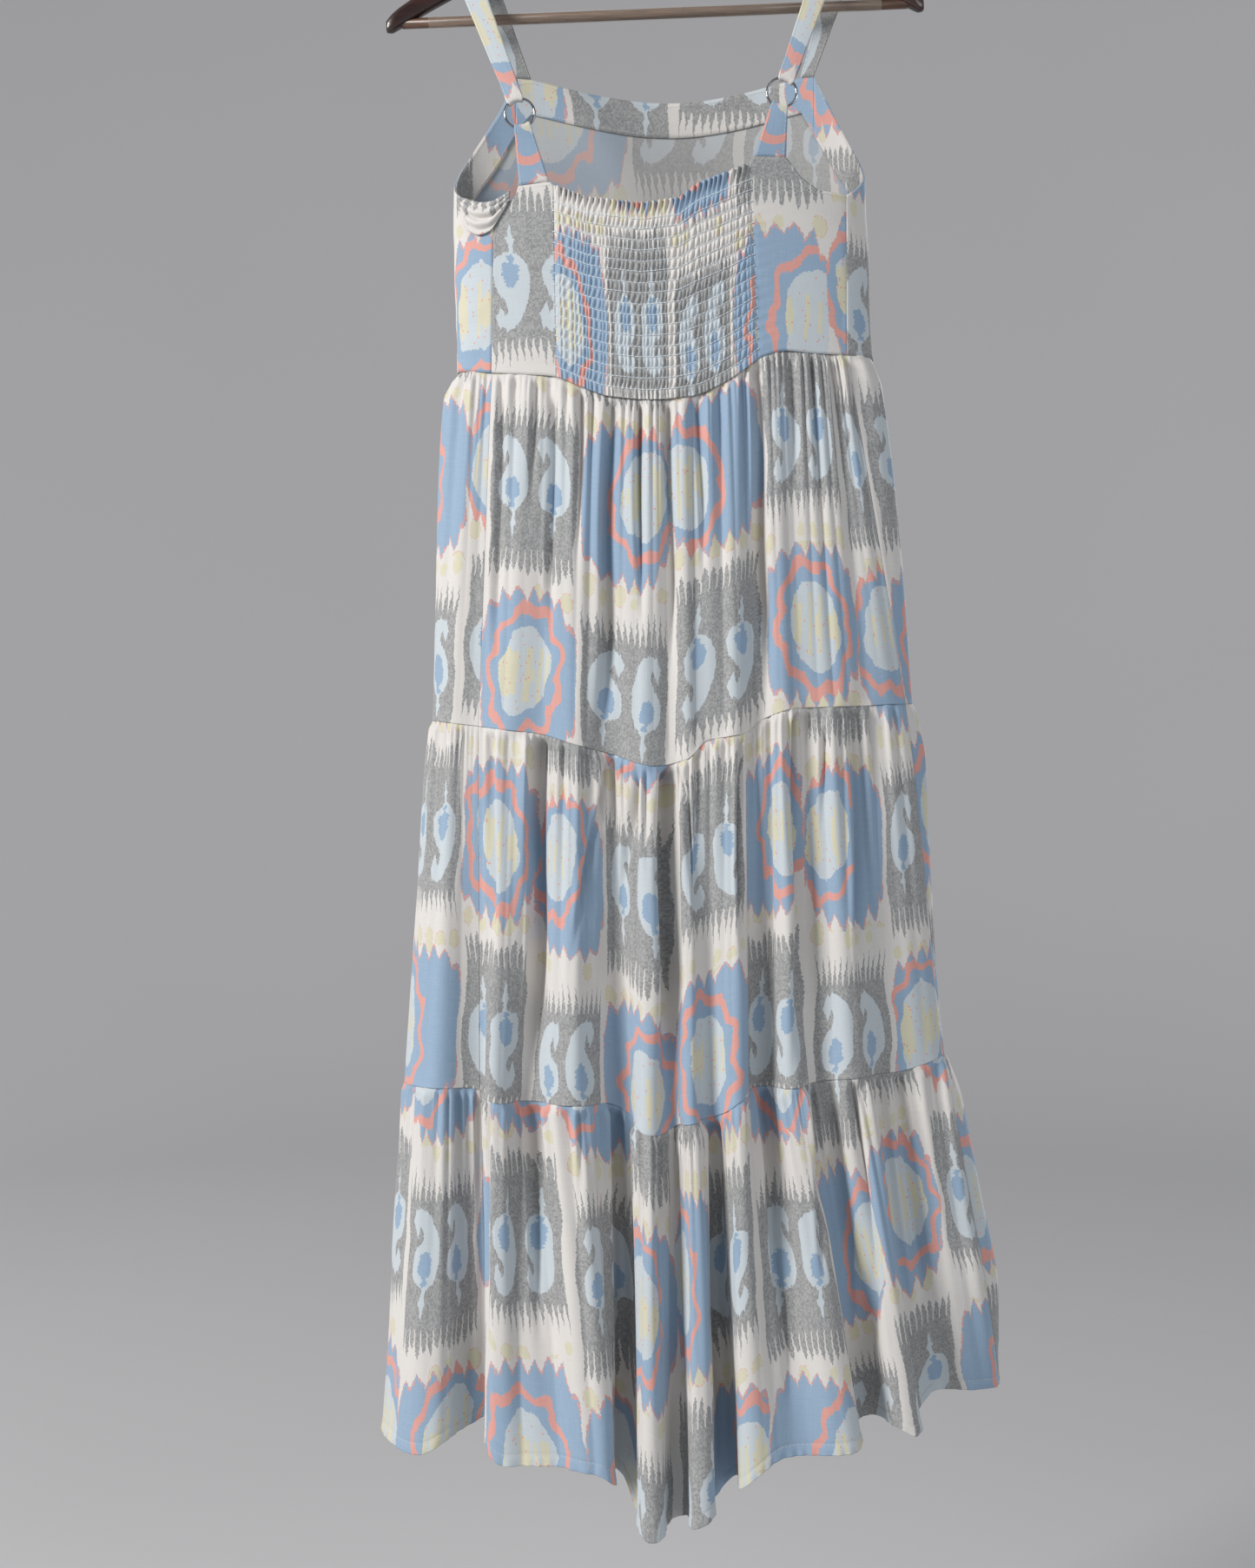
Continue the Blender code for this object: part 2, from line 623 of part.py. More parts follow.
def ring_loop(centre, outward, across):
    """The rows of a ribbon round the ring's wire, from behind it through the ring to its near side.

    outward points from the ring's middle to where the ribbon leaves it, and across is the ribbon's width.
    """
    reach = RING_WIRE + GAP + WEBBING / 2 + 0.0001
    angles = LOOP_HALF_ANGLE * ACROSS
    spokes = np.outer(np.cos(angles), outward) + np.outer(np.sin(angles), across)
    away = np.array([0, 1, 0])
    rows = []
    for turn in np.linspace(math.pi, 0, 6):
        rows.append(centre + spokes * (RING_RADIUS - reach * math.sin(turn)) - away * reach * math.cos(turn))
    return rows


def lapped_end(loop, target, width, lap):
    """The short end behind a ribbon: it starts near the ribbon's line to its target and reaches the loop."""
    start = loop[-1].mean(0)
    way = (target - start) / np.linalg.norm(target - start)
    behind = np.array([0, WEBBING + 2 * GAP, 0])
    ends = start + way * lap
    tip = ends + np.outer(ACROSS, width) + behind
    middle = (loop[0] + tip) / 2
    return [tip, middle]


def make_straps():
    cotton = material("strap_cotton", COTTON, 0.9)
    silver = material("ring_metal", SILVER, 0.25, 1.0)
    for hang in HANGS:
        sway = np.array([SWAY, 0, 0])
        centre = np.array([hang.ring_x, RING_Y, hang.ring_z]) + sway
        wrap = over_arm(hang)
        half = STRAP_WIDTH / 2
        lean = wrap[0].mean(0) - centre
        lean = np.array([lean[0], 0, lean[2]]) / math.hypot(lean[0], lean[2])
        across = np.array([lean[2], 0, -lean[0]])
        loop = ring_loop(centre, lean, across)
        lap = lapped_end(loop, wrap[0].mean(0), across * half * 0.8, STRAP_LAP)
        rise = [loop[-1] * (1 - t) + wrap[0] * t for t in (0.12, 0.35, 0.6, 0.85)]
        x = SWAY + np.linspace(hang.sewn_left, hang.sewn_right, len(ACROSS))
        sewn, outward = bodice_at(turn_of(x - SWAY, -1.7, "front"), np.full(len(ACROSS), hang.sewn_z + GAP))
        sewn = sewn - outward * WALL / 2
        fall = [wrap[-1] * (1 - t) + sewn * t for t in (0.25, 0.5, 0.75, 1)]
        ribbon(f"strap_{hang.side}", np.array(lap + loop + rise + wrap + fall), WEBBING, cotton)
        make_tab(hang, centre, cotton)
        bpy.ops.mesh.primitive_torus_add(
            major_segments=28,
            minor_segments=8,
            major_radius=RING_RADIUS,
            minor_radius=RING_WIRE,
            location=centre,
            rotation=(math.pi / 2, 0, 0),
        )
        ring = bpy.context.object
        ring.name = f"ring_{hang.side}"
        ring.data.materials.append(silver)


def over_arm(hang):
    """The rows of a strap over its hanger arm, from the back to the front."""
    reach = ARM_THICKNESS / 2 + WEBBING / 2 + 0.0008
    rows = []
    for share in np.linspace(0, 1, 7):
        angle = math.radians(190) - math.radians(200) * share
        x = hang.arm_back + (hang.arm_front - hang.arm_back) * share
        row = []
        for w in ACROSS:
            side = x + w * STRAP_WIDTH / 2 * 0.9
            z = arm_top(side) - ARM_THICKNESS / 2 + reach * math.sin(angle)
            row.append(tilted((side, reach * math.cos(angle), z)))
        rows.append(np.array(row))
    return rows


def make_tab(hang, centre, cotton):
    top = SIDE_LEFT_TOP if hang.side == "left" else SIDE_RIGHT_TOP
    x = np.linspace(hang.tab_right, hang.tab_left, len(ACROSS))
    z = np.interp(x, [row.x for row in top], [row.z for row in top])
    sewn, outward = back_at(x, z + GAP)
    sewn = sewn - outward * WALL / 2
    lean = sewn.mean(0) - centre
    lean = np.array([lean[0], 0, lean[2]]) / math.hypot(lean[0], lean[2])
    across = np.array([lean[2], 0, -lean[0]])
    loop = ring_loop(centre, lean, across)
    lap = lapped_end(loop, sewn.mean(0), across * STRAP_WIDTH / 2 * 0.8, TAB_LAP)
    fall = [loop[-1] * (1 - t) + sewn * t for t in (0.25, 0.6, 1)]
    ribbon(f"ring_tab_{hang.side}", np.array(lap + loop + fall), WEBBING * 0.8, cotton)


def cylinder(name, radius, half_length, x, z, vertices=16, along_x=True):
    bpy.ops.mesh.primitive_cylinder_add(
        vertices=vertices,
        radius=radius,
        depth=2 * half_length,
        location=(x, 0, z),
        rotation=(0, math.pi / 2 if along_x else 0, 0),
    )
    made = bpy.context.object
    made.name = name
    return made


def cut(target, cutter):
    cutter.hide_render = True
    cutter.display_type = "WIRE"
    modifier = target.modifiers.new(cutter.name, "BOOLEAN")
    modifier.operation = "DIFFERENCE"
    modifier.object = cutter


def make_arms(wood):
    """Sections of the arms: upright stadiums from tip to tip, drawn in at both ends."""
    half = ARM_THICKNESS / 2
    right = [(row, 1.0) for row in ARM] + [(ARM_TIP, 0.6)]
    left = [(row._replace(x=-row.x), scale) for row, scale in right[:0:-1]]
    vertices = []
    stations = left + right
    angles = [math.radians(a) for a in (0, 36, 72, 108, 144, 180)]
    for row, scale in stations:
        radius = half * scale
        lift = min(radius, row.height / 2)
        for angle in angles:
            vertices.append((row.x, radius * math.cos(angle), row.top - lift + lift * math.sin(angle)))
        for angle in angles:
            low = row.top - row.height + lift
            vertices.append((row.x, -radius * math.cos(angle), low - lift * math.sin(angle)))
    count = 2 * len(angles)
    faces = [tuple(range(count)), tuple(range(len(vertices) - count, len(vertices)))]
    for station in range(len(stations) - 1):
        for i in range(count):
            a, b = station * count + i, station * count + (i + 1) % count
            faces.append((a, b, b + count, a + count))
    return finished("hanger_arms", vertices, faces, wood)


def make_hook(silver):
    """A wire: the stem in the neck, a bend out to the right, then over the rail to its tip on the left."""
    radius = HOOK_INSIDE_RADIUS + HOOK_WIRE / 2
    start, end = math.radians(-50), math.radians(192)
    arc = [(radius * math.cos(a), radius * math.sin(a) - HOOK_INSIDE_RADIUS) for a in np.linspace(start, end, 22)]
    foot = arc[0]
    slide = foot[0] / -math.sin(start)
    knee = (0, foot[1] - slide * math.cos(start))
    stem = (0, knee[1] - 0.011)
    line = [(0, NECK_TOP - STEM_DEPTH)]
    for t in np.linspace(0, 1, 6)[:-1]:
        near, mid, far = (1 - t) ** 2, 2 * t * (1 - t), t * t
        line.append(tuple(near * a + mid * b + far * c for a, b, c in zip(stem, knee, foot)))
    line += arc
    curve = bpy.data.curves.new("hanger_hook", "CURVE")
    curve.dimensions = "3D"
    curve.bevel_depth = HOOK_WIRE / 2
    curve.bevel_resolution = 2
    curve.use_fill_caps = True
    spline = curve.splines.new("POLY")
    spline.points.add(len(line) - 1)
    for point, (x, z) in zip(spline.points, line):
        point.co = (x, 0, z, 1)
    curve.materials.append(silver)
    hook = bpy.data.objects.new("hanger_hook", curve)
    bpy.context.collection.objects.link(hook)
    return hook


def make_hanger():
    wood = material("hanger_wood", WOOD, 0.22)
    arms = make_arms(wood)
    bar = cylinder("hanger_bar", BAR_RADIUS, BAR_HALF_LENGTH, 0, BAR_Z)
    bar.data.materials.append(material("bar_wood", BAR_WOOD, 0.45))
    grip = cylinder("bar_grip", GRIP_RADIUS, GRIP_HALF_LENGTH, 0, BAR_Z)
    grip.data.materials.append(material("grip_plastic", CLEAR, 0.3, alpha=0.5))
    bore = cylinder("grip_bore", BAR_RADIUS + GAP, GRIP_HALF_LENGTH + 0.002, 0, BAR_Z)
    cut(grip, bore)
    socket = cylinder("bar_socket", BAR_RADIUS + GAP, BAR_HALF_LENGTH + GAP, 0, BAR_Z)
    cut(arms, socket)
    stem_z = NECK_TOP - STEM_DEPTH / 2
    stem_hole = cylinder("stem_hole", HOOK_WIRE / 2 + GAP, STEM_DEPTH / 2 + GAP, 0, stem_z, 12, along_x=False)
    cut(arms, stem_hole)
    hook = make_hook(material("hook_metal", SILVER, 0.25, 1.0))
    pivot = bpy.data.objects.new("hook_pivot", None)
    bpy.context.collection.objects.link(pivot)
    pivot.rotation_euler = (0, -TILT, 0)
    for piece in (arms, bar, grip, bore, socket, stem_hole, hook):
        piece.parent = pivot


def main():
    for thing in list(bpy.data.objects):
        bpy.data.objects.remove(thing, do_unlink=True)
    make_hanger()
    make_straps()
    make_smocking()
    make_side_backs()
    make_front()
    make_skirt()


main()
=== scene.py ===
"""The looks of a tiered sundress on a wooden hanger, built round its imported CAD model.

Metres, +Z up; the origin is the top of the hollow in the hanger's hook. A turn runs round the dress: 0 is
its left edge, a quarter turn its back, half a turn its right edge. A level counts the seams: 0 is the waist,
1 and 2 are the seams below the first and second tier, 3 is the hem.
"""

import json
import math
from collections import defaultdict, namedtuple

import bmesh
import bpy
import numpy as np
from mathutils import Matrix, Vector


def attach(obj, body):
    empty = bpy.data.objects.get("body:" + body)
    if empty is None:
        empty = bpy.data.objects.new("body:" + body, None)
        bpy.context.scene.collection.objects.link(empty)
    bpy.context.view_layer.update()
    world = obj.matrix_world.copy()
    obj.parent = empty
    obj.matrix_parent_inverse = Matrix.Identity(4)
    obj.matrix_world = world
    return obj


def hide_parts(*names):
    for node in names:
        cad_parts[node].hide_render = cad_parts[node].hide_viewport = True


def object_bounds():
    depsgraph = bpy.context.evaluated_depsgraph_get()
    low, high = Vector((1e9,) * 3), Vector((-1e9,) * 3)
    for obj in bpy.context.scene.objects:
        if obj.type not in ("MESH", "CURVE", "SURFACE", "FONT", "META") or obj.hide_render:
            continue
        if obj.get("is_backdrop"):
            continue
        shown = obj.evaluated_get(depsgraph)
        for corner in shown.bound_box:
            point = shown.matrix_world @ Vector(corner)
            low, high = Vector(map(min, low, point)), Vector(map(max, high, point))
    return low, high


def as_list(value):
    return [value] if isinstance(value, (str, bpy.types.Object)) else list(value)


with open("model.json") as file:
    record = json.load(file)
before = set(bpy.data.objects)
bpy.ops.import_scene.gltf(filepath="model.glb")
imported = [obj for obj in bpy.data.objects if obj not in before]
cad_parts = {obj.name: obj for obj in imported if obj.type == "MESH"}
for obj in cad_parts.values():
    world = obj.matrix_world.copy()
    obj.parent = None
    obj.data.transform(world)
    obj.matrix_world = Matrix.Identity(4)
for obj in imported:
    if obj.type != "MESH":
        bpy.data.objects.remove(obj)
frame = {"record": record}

TILT = math.radians(2.3)
HOOK_WIRE = 0.0035
HOOK_INSIDE_RADIUS = 0.020
NECK_TOP = -0.062
STEM_DEPTH = 0.018
ARM_THICKNESS = 0.013
BAR_Z = -0.1547
BAR_RADIUS = 0.0042
BAR_HALF_LENGTH = 0.2125
GRIP_RADIUS = 0.0052
GRIP_HALF_LENGTH = 0.190
# The tilt carries the bar, and the dress with it, this far right of the hook
SWAY = -BAR_Z * math.sin(TILT)
RING_RADIUS = 0.0121
RING_WIRE = 0.001

# Round the dress
FLATNESS = 0.8
UNDERARM_RISE = 0.155
WAIST_FOLD = 0.0015

# The space between two pieces that lie on each other, a strap's thickness, the cloth's, and how far the
# middle of a stitch stands above it
GAP = 0.0003
WEBBING = 0.0014
CLOTH = 0.0008
STITCH_LIFT = 0.0001

# Level, left edge, right edge, half depth behind and in front
OUTLINES = [
    (-1.70, -0.166, 0.178, 0.044, 0.034),
    (-1.00, -0.169, 0.176, 0.045, 0.036),
    (-0.50, -0.168, 0.180, 0.045, 0.040),
    (0.00, -0.166, 0.183, 0.046, 0.040),
    (0.08, -0.176, 0.191, 0.050, 0.043),
    (0.35, -0.1825, 0.201, 0.054, 0.046),
    (0.70, -0.186, 0.210, 0.058, 0.049),
    (1.00, -0.189, 0.216, 0.062, 0.051),
    (1.15, -0.195, 0.226, 0.067, 0.054),
    (1.45, -0.202, 0.230, 0.073, 0.058),
    (2.00, -0.215, 0.242, 0.085, 0.065),
    (2.12, -0.2175, 0.254, 0.090, 0.069),
    (2.45, -0.2255, 0.2745, 0.098, 0.075),
    (2.70, -0.2295, 0.288, 0.106, 0.080),
    (3.00, -0.2365, 0.287, 0.115, 0.085),
]

# Heights of the seams at both edges, and how far their middle hangs below in front
Seam = namedtuple("Seam", "left right front_arc")
SEAMS = [
    Seam(-0.458, -0.447, 0.008),
    Seam(-0.749, -0.735, 0.012),
    Seam(-1.0495, -1.025, 0.014),
    Seam(-1.335, -1.297, 0.024),
]

# How far the waist, both tier seams and the hem hang below the line between their edges on the back, by x
WAIST_DIPS = [
    (-0.166, 0), (-0.135, 0.006), (-0.106, 0.010), (-0.084, 0.013), (-0.059, 0.024), (-0.037, 0.032),
    (0.000, 0.036), (0.030, 0.034), (0.053, 0.025), (0.071, 0.014), (0.087, 0.003), (0.107, -0.002),
    (0.136, 0.000), (0.183, 0),
]
FIRST_SEAM_DIPS = [
    (-0.189, 0), (-0.145, 0.0075), (-0.118, 0.012), (-0.095, 0.0155), (-0.071, 0.0235),
    (-0.037, 0.034), (0.000, 0.045), (0.024, 0.041), (0.042, 0.026), (0.072, 0.021),
    (0.088, 0.010), (0.115, 0.002), (0.170, 0.0015), (0.216, 0),
]
SECOND_SEAM_DIPS = [
    (-0.215, 0), (-0.164, 0.003), (-0.118, 0.015), (-0.083, 0.016), (-0.045, 0.019), (-0.023, 0.029),
    (-0.009, 0.042), (0.002, 0.0435), (0.020, 0.037), (0.047, 0.033), (0.066, 0.021), (0.082, 0.0135),
    (0.126, 0.012), (0.160, 0.009), (0.200, 0.010), (0.242, 0),
]
HEM_DIPS = [
    (-0.2365, 0), (-0.190, 0.007), (-0.165, -0.008), (-0.148, -0.014), (-0.132, 0.004),
    (-0.120, 0.011), (-0.083, 0.014), (-0.045, 0.020), (-0.030, 0.036), (-0.018, 0.063),
    (-0.004, 0.0735), (0.012, 0.070), (0.034, 0.064), (0.050, 0.055), (0.062, 0.043),
    (0.078, 0.029), (0.100, 0.019), (0.130, 0.020), (0.155, 0.020), (0.174, 0.009),
    (0.190, 0.007), (0.205, 0.015), (0.222, 0.009), (0.242, -0.006), (0.287, 0),
]
DIPS = [WAIST_DIPS, FIRST_SEAM_DIPS, SECOND_SEAM_DIPS, HEM_DIPS]

# The large folds, round the dress: x at the waist, at both tier seams and at the hem, then how deep they
# lie there. A crest has no depth. "round" is the back face again, past the left edge.
Fold = namedtuple("Fold", "face waist seam1 seam2 hem deep1 deep2 deep3", defaults=(0, 0, 0))
BACK_FOLDS = [
    Fold("back", *row)
    for row in (
        (-0.135, -0.147, -0.150, -0.1485, 0.006, 0.022, 0.045),
        (-0.112, -0.122, -0.131, -0.128),
        (-0.090, -0.0955, -0.111, -0.083, 0.006, 0.024, 0.008),
        (-0.060, -0.066, -0.068, -0.045),
        (-0.032, -0.0367, -0.030, -0.0255, 0.012, 0.030, 0.045),
        (-0.010, -0.011, -0.006, -0.004),
        (0.010, 0.0145, 0.0145, 0.0173, 0.006, 0.014, 0.036),
        (0.025, 0.028, 0.028, 0.035),
        (0.040, 0.0418, 0.042, 0.056, 0.005, 0.016, 0.042),
        (0.058, 0.063, 0.064, 0.076),
        (0.075, 0.084, 0.0864, 0.113, 0.012, 0.028, 0.010),
        (0.096, 0.105, 0.110, 0.152),
        (0.115, 0.125, 0.132, 0.1775, 0.005, 0.016, 0.042),
        (0.129, 0.148, 0.160, 0.204),
        (0.142, 0.170, 0.189, 0.226, 0.004, 0.014, 0.030),
        (0.158, 0.207, 0.2385, 0.2830),
    )
]
FRONT_FOLDS = [
    Fold("front", *row)
    for row in (
        (0.150, 0.172, 0.190, 0.232, 0.005, 0.016, 0.030),
        (0.122, 0.138, 0.152, 0.190),
        (0.095, 0.106, 0.118, 0.150, 0.009, 0.022, 0.036),
        (0.072, 0.080, 0.088, 0.106),
        (0.045, 0.052, 0.056, 0.060, 0.006, 0.018, 0.034),
        (0.020, 0.022, 0.022, 0.020),
        (-0.006, -0.010, -0.012, -0.022, 0.010, 0.024, 0.038),
        (-0.032, -0.036, -0.042, -0.062),
        (-0.060, -0.068, -0.076, -0.102, 0.005, 0.016, 0.032),
        (-0.088, -0.098, -0.110, -0.140),
        (-0.114, -0.130, -0.144, -0.176, 0.007, 0.020, 0.030),
        (-0.140, -0.160, -0.178, -0.210),
    )
]
LEFT_FOLDS = [Fold("left", 0, 0, 0, 0, 0.003, 0.006, 0.010), Fold("round", -0.152, -0.170, -0.184, -0.192)]
FRONT_FOLDS = [BACK_FOLDS[-1], *FRONT_FOLDS, *LEFT_FOLDS, BACK_FOLDS[0]._replace(face="round")]

# The front's upper edge, from the right side seam over the front to the left one. "facing" is how far the
# band turned in along it reaches down, and "columns" counts the strips of cloth to the next row.
Edge = namedtuple("Edge", "face x z facing columns")
RIGHT_ARMHOLE = [
    Edge("back", 0.158, -0.315, 0.022, 4),
    Edge("right", 0, -0.290, 0.026, 3),
    Edge("front", 0.172, -0.274, 0.040, 2),
    Edge("front", 0.158, -0.2436, 0.046, 3),
    Edge("front", 0.136, -0.199, 0.050, 2),
]
NECKLINE = [
    Edge("front", 0.1248, -0.199, 0.030, 6),
    Edge("front", 0.012, -0.2175, 0.030, 6),
    Edge("front", -0.1053, -0.200, 0.030, 2),
]
LEFT_ARMHOLE = [
    Edge("front", -0.1187, -0.200, 0.050, 3),
    Edge("front", -0.136, -0.2346, 0.046, 2),
    Edge("front", -0.159, -0.2736, 0.040, 3),
    Edge("left", 0, -0.300, 0.026, 4),
    Edge("round", -0.133, -0.329, 0.022, 0),
]

# The seams of the back: x at the top and at the waist
SMOCK_LEFT = (-0.0835, -0.081)
SMOCK_RIGHT = (0.0765, 0.084)
SEAM_LEFT = (-0.133, -0.135)
SEAM_RIGHT = (0.158, 0.158)
# The back's upper edge: x and height
SIDE_LEFT_TOP = [
    (-0.133, -0.329), (-0.1154, -0.321), (-0.1126, -0.311),
    (-0.0864, -0.309), (-0.0835, -0.312),
]
SMOCK_TOP = [
    (-0.0835, -0.312), (-0.0566, -0.3227), (-0.0127, -0.3283),
    (0.0191, -0.324), (0.034, -0.312), (0.0765, -0.2945),
]
SIDE_RIGHT_TOP = [
    (0.0765, -0.2945), (0.0800, -0.2887), (0.1076, -0.2887),
    (0.119, -0.3036), (0.134, -0.3135), (0.158, -0.315),
]

# Smocking: rows of elastic that draw the cloth in, with puckers between them
ELASTIC_ROWS = 17
ELASTIC_PITCH = 0.0085
SMOCK_HEADER = 0.013
SMOCK_HEIGHT = 0.157

# Where each strap crosses its arm behind and in front, where its ring hangs, and where its ends are sewn
Hang = namedtuple(
    "Hang", "side arm_back arm_front ring_x ring_z sewn_left sewn_right sewn_z tab_left tab_right"
)
HANGS = [
    Hang("left", -0.157, -0.145, -0.111, -0.254, -0.1187, -0.1053, -0.200, -0.1120, -0.0870),
    Hang("right", 0.149, 0.160, 0.103, -0.237, 0.1248, 0.136, -0.199, 0.0805, 0.1070),
]
RING_Y = -0.042
STRAP_WIDTH = 0.020
LOOP_HALF_ANGLE = math.radians(33)
STRAP_LAP = 0.020
TAB_LAP = 0.014
ACROSS = np.linspace(-1, 1, 4)

# The hanger's arms: distance from the middle, top and height
ARM = [
    (0.000, -0.062, 0.030),
    (0.022, -0.063, 0.030),
    (0.050, -0.070, 0.027),
    (0.100, -0.084, 0.025),
    (0.150, -0.1045, 0.022),
    (0.185, -0.123, 0.020),
    (0.203, -0.1347, 0.0178),
    (0.220, -0.1465, 0.0150),
]
ARM_TIP = (0.2255, -0.1525, 0.009)


def cubic(t, span, start, start_slope, end, end_slope):
    """A curve from start to end, with a slope at each, at a share t of the span."""
    near = (1 + 2 * t) * (1 - t) ** 2 * start + t * (1 - t) ** 2 * span * start_slope
    return near + t * t * (3 - 2 * t) * end + t * t * (t - 1) * span * end_slope


def through(x, knots, values):
    """A smooth line through a table's values, which never overshoots between two of them."""
    knots, values = np.asarray(knots, float), np.asarray(values, float)
    slopes = np.diff(values) / np.diff(knots)
    before, after = slopes[:-1], slopes[1:]
    same = before * after > 0
    bends = np.concatenate([slopes[:1], np.zeros(len(knots) - 2), slopes[-1:]])
    bends[1:-1][same] = 2 * before[same] * after[same] / (before + after)[same]
    i = np.clip(np.searchsorted(knots, x) - 1, 0, len(knots) - 2)
    span = knots[i + 1] - knots[i]
    t = np.clip((x - knots[i]) / span, 0, 1)
    return cubic(t, span, values[i], bends[i], values[i + 1], bends[i + 1])


def summed(steps):
    """How far along a line each of its points is, from the steps between them."""
    return np.concatenate([[0], np.cumsum(steps)])


def circle(sides):
    """The angles of points spaced evenly round a circle."""
    return np.linspace(0, 2 * math.pi, sides + 1)[:-1]


def outline(level):
    """The left and right edges and the half depths of the dress at a level."""
    levels, *sides = np.array(OUTLINES).T
    return [through(level, levels, side) for side in sides]


def base_line(turn, level):
    left, right, back, front = outline(level)
    swing = np.sin(turn)
    x = SWAY + (left + right) / 2 - (right - left) / 2 * np.cos(turn)
    y = -np.sign(swing) * np.where(swing > 0, back, front) * np.abs(swing) ** FLATNESS
    return x, y


def base_frame(turn, level):
    """The point on the smooth line, and the unit vectors along it and out of it."""
    step = 1e-3
    x, y = base_line(turn, level)
    ahead, behind = base_line(turn + step, level), base_line(turn - step, level)
    along = np.stack([ahead[0] - behind[0], ahead[1] - behind[1], np.zeros_like(x)], -1)
    along /= np.linalg.norm(along, axis=-1, keepdims=True)
    out = np.stack([along[..., 1], -along[..., 0], np.zeros_like(x)], -1)
    return np.stack([x, y, np.zeros_like(x)], -1), along, out


def turn_of(x, level, face="back"):
    """The turn at which the line passes x, which is measured from the bar's middle."""
    if face in ("left", "right"):
        return 2 * math.pi if face == "left" else math.pi
    left, right, _, _ = outline(level)
    turn = np.arccos(np.clip(((left + right) / 2 - x) / ((right - left) / 2), -1, 1))
    return {"back": turn, "front": 2 * math.pi - turn, "round": 2 * math.pi + turn}[face]


def seam_height(number, turn):
    row = SEAMS[number]
    x, _ = base_line(turn, number)
    edge = row.left + (row.right - row.left) * (1 - np.cos(turn)) / 2
    swing = np.sin(turn)
    back = through(x - SWAY, *np.array(DIPS[number]).T)
    return edge - np.where(swing > 0, back, -row.front_arc * swing)


def skirt_height(level, turn):
    tier = min(int(level), 2)
    share = level - tier
    return seam_height(tier, turn) * (1 - share) + seam_height(tier + 1, turn) * share


# How a strip of cloth bends from a crest into the next trough: its slope swings to a largest angle and back
STRIP = np.linspace(0, 1, 49)
SWINGS = np.linspace(0, 2.0, 101)
ARC = np.sin(math.pi * STRIP)
STEEPNESS = [np.sin(s * ARC).sum() / np.cos(s * ARC).sum() for s in SWINGS]


def bend(steepness, share):
    """Slope, run and rise at shares of the strip's length, for a total rise over run of this steepness."""
    slope = np.interp(steepness, STEEPNESS, SWINGS) * ARC
    run, rise = (summed((f[1:] + f[:-1]) / 2) for f in (np.cos(slope), np.sin(slope)))
    rise = rise / rise[-1] if rise[-1] > 0 else STRIP
    return tuple(np.interp(share, STRIP, line) for line in (slope, run / run[-1], rise))


def bodice_at(turn, z):
    level = (seam_height(0, turn) - z) / -UNDERARM_RISE
    point, _, outward = base_frame(turn, -np.abs(level))
    point[..., 2] = z
    return point, outward


def turn_at(x, z, face="back"):
    """The turn at which the bodice passes x, measured from the bar's middle, at height z."""
    level = -np.abs(seam_height(0, turn_of(x, 0.0)) - z) / UNDERARM_RISE
    return turn_of(x, level, face)


def back_at(x, z):
    """The point of the back at x, measured from the bar's middle, and height z."""
    return bodice_at(turn_at(x, z), z)


def tilted(point):
    """A point of the upright hanger, where the tilt about the hook carries it."""
    x, y, z = point
    return np.array([x * math.cos(TILT) - z * math.sin(TILT), y, x * math.sin(TILT) + z * math.cos(TILT)])


def arm_top(x):
    return through(abs(x), *np.array(ARM).T[:2])


# Fine cloth

# Columns to each fold of a tier, and its rows above the hem
PER_FOLD = 26
TIER_LINES = 46
# How far cloth is cut longer than the line that it hangs on, above its large folds
FULLNESS = 1.12
TIER_CUT = (0.300, 0.303, 0.290)
SMOCK_FULLNESS = 1.85
SMOCK_COLUMNS = 320
# How far the middle of an elastic thread stands above the cloth
ELASTIC_LIFT = 0.0004


def wander(x, pitch, seed):
    """Smooth random values from -1 to 1, which change over a pitch."""
    table = np.random.default_rng(seed).uniform(-1, 1, 512)
    place = np.asarray(x) / pitch + 37.3
    i = np.floor(place).astype(int)
    t = place - i
    t = t * t * (3 - 2 * t)
    return table[i % 512] * (1 - t) + table[(i + 1) % 512] * t


def soft_step(x):
    x = np.clip(x, 0, 1)
    return x * x * (3 - 2 * x)


def folded_row(level, folds):
    """The points and outward directions of one row of a tier, and how far each is round the cloth."""
    levels = range(4)
    turns = np.linspace(0, 4 * math.pi, 2881)
    x, y = base_line(turns, level)
    ways = summed(np.hypot(np.diff(x), np.diff(y)))
    stops = []
    for fold in folds:
        at = np.interp(level, levels, [fold.waist, fold.seam1, fold.seam2, fold.hem])
        first = WAIST_FOLD if fold.deep1 else 0
        deep = np.interp(level, levels, [first, fold.deep1, fold.deep2, fold.deep3])
        stops.append((np.interp(turn_of(at, level, fold.face), turns, ways), -deep))
    rows = []
    for (way, out), (next_way, next_out) in zip(stops, stops[1:]):
        shares = np.arange(PER_FOLD) / PER_FOLD
        slope, run, rise = bend(abs(next_out - out) / (next_way - way), shares)
        slope = slope * np.sign(next_out - out)
        rows.append(np.stack([way + run * (next_way - way), out + rise * (next_out - out), slope], -1))
    rows.append(np.array([[*stops[-1], 0]]))
    way, out, slope = np.concatenate(rows).T
    turn = np.interp(way, ways, turns)
    point, along, outward = base_frame(turn, level)
    point = point + outward * out[:, None]
    point[:, 2] = skirt_height(level, turn)
    facing = outward * np.cos(slope)[:, None] - along * np.sin(slope)[:, None]
    steps = np.hypot(*np.diff(point[:, :2], axis=0).T)
    return point, facing, summed(steps)


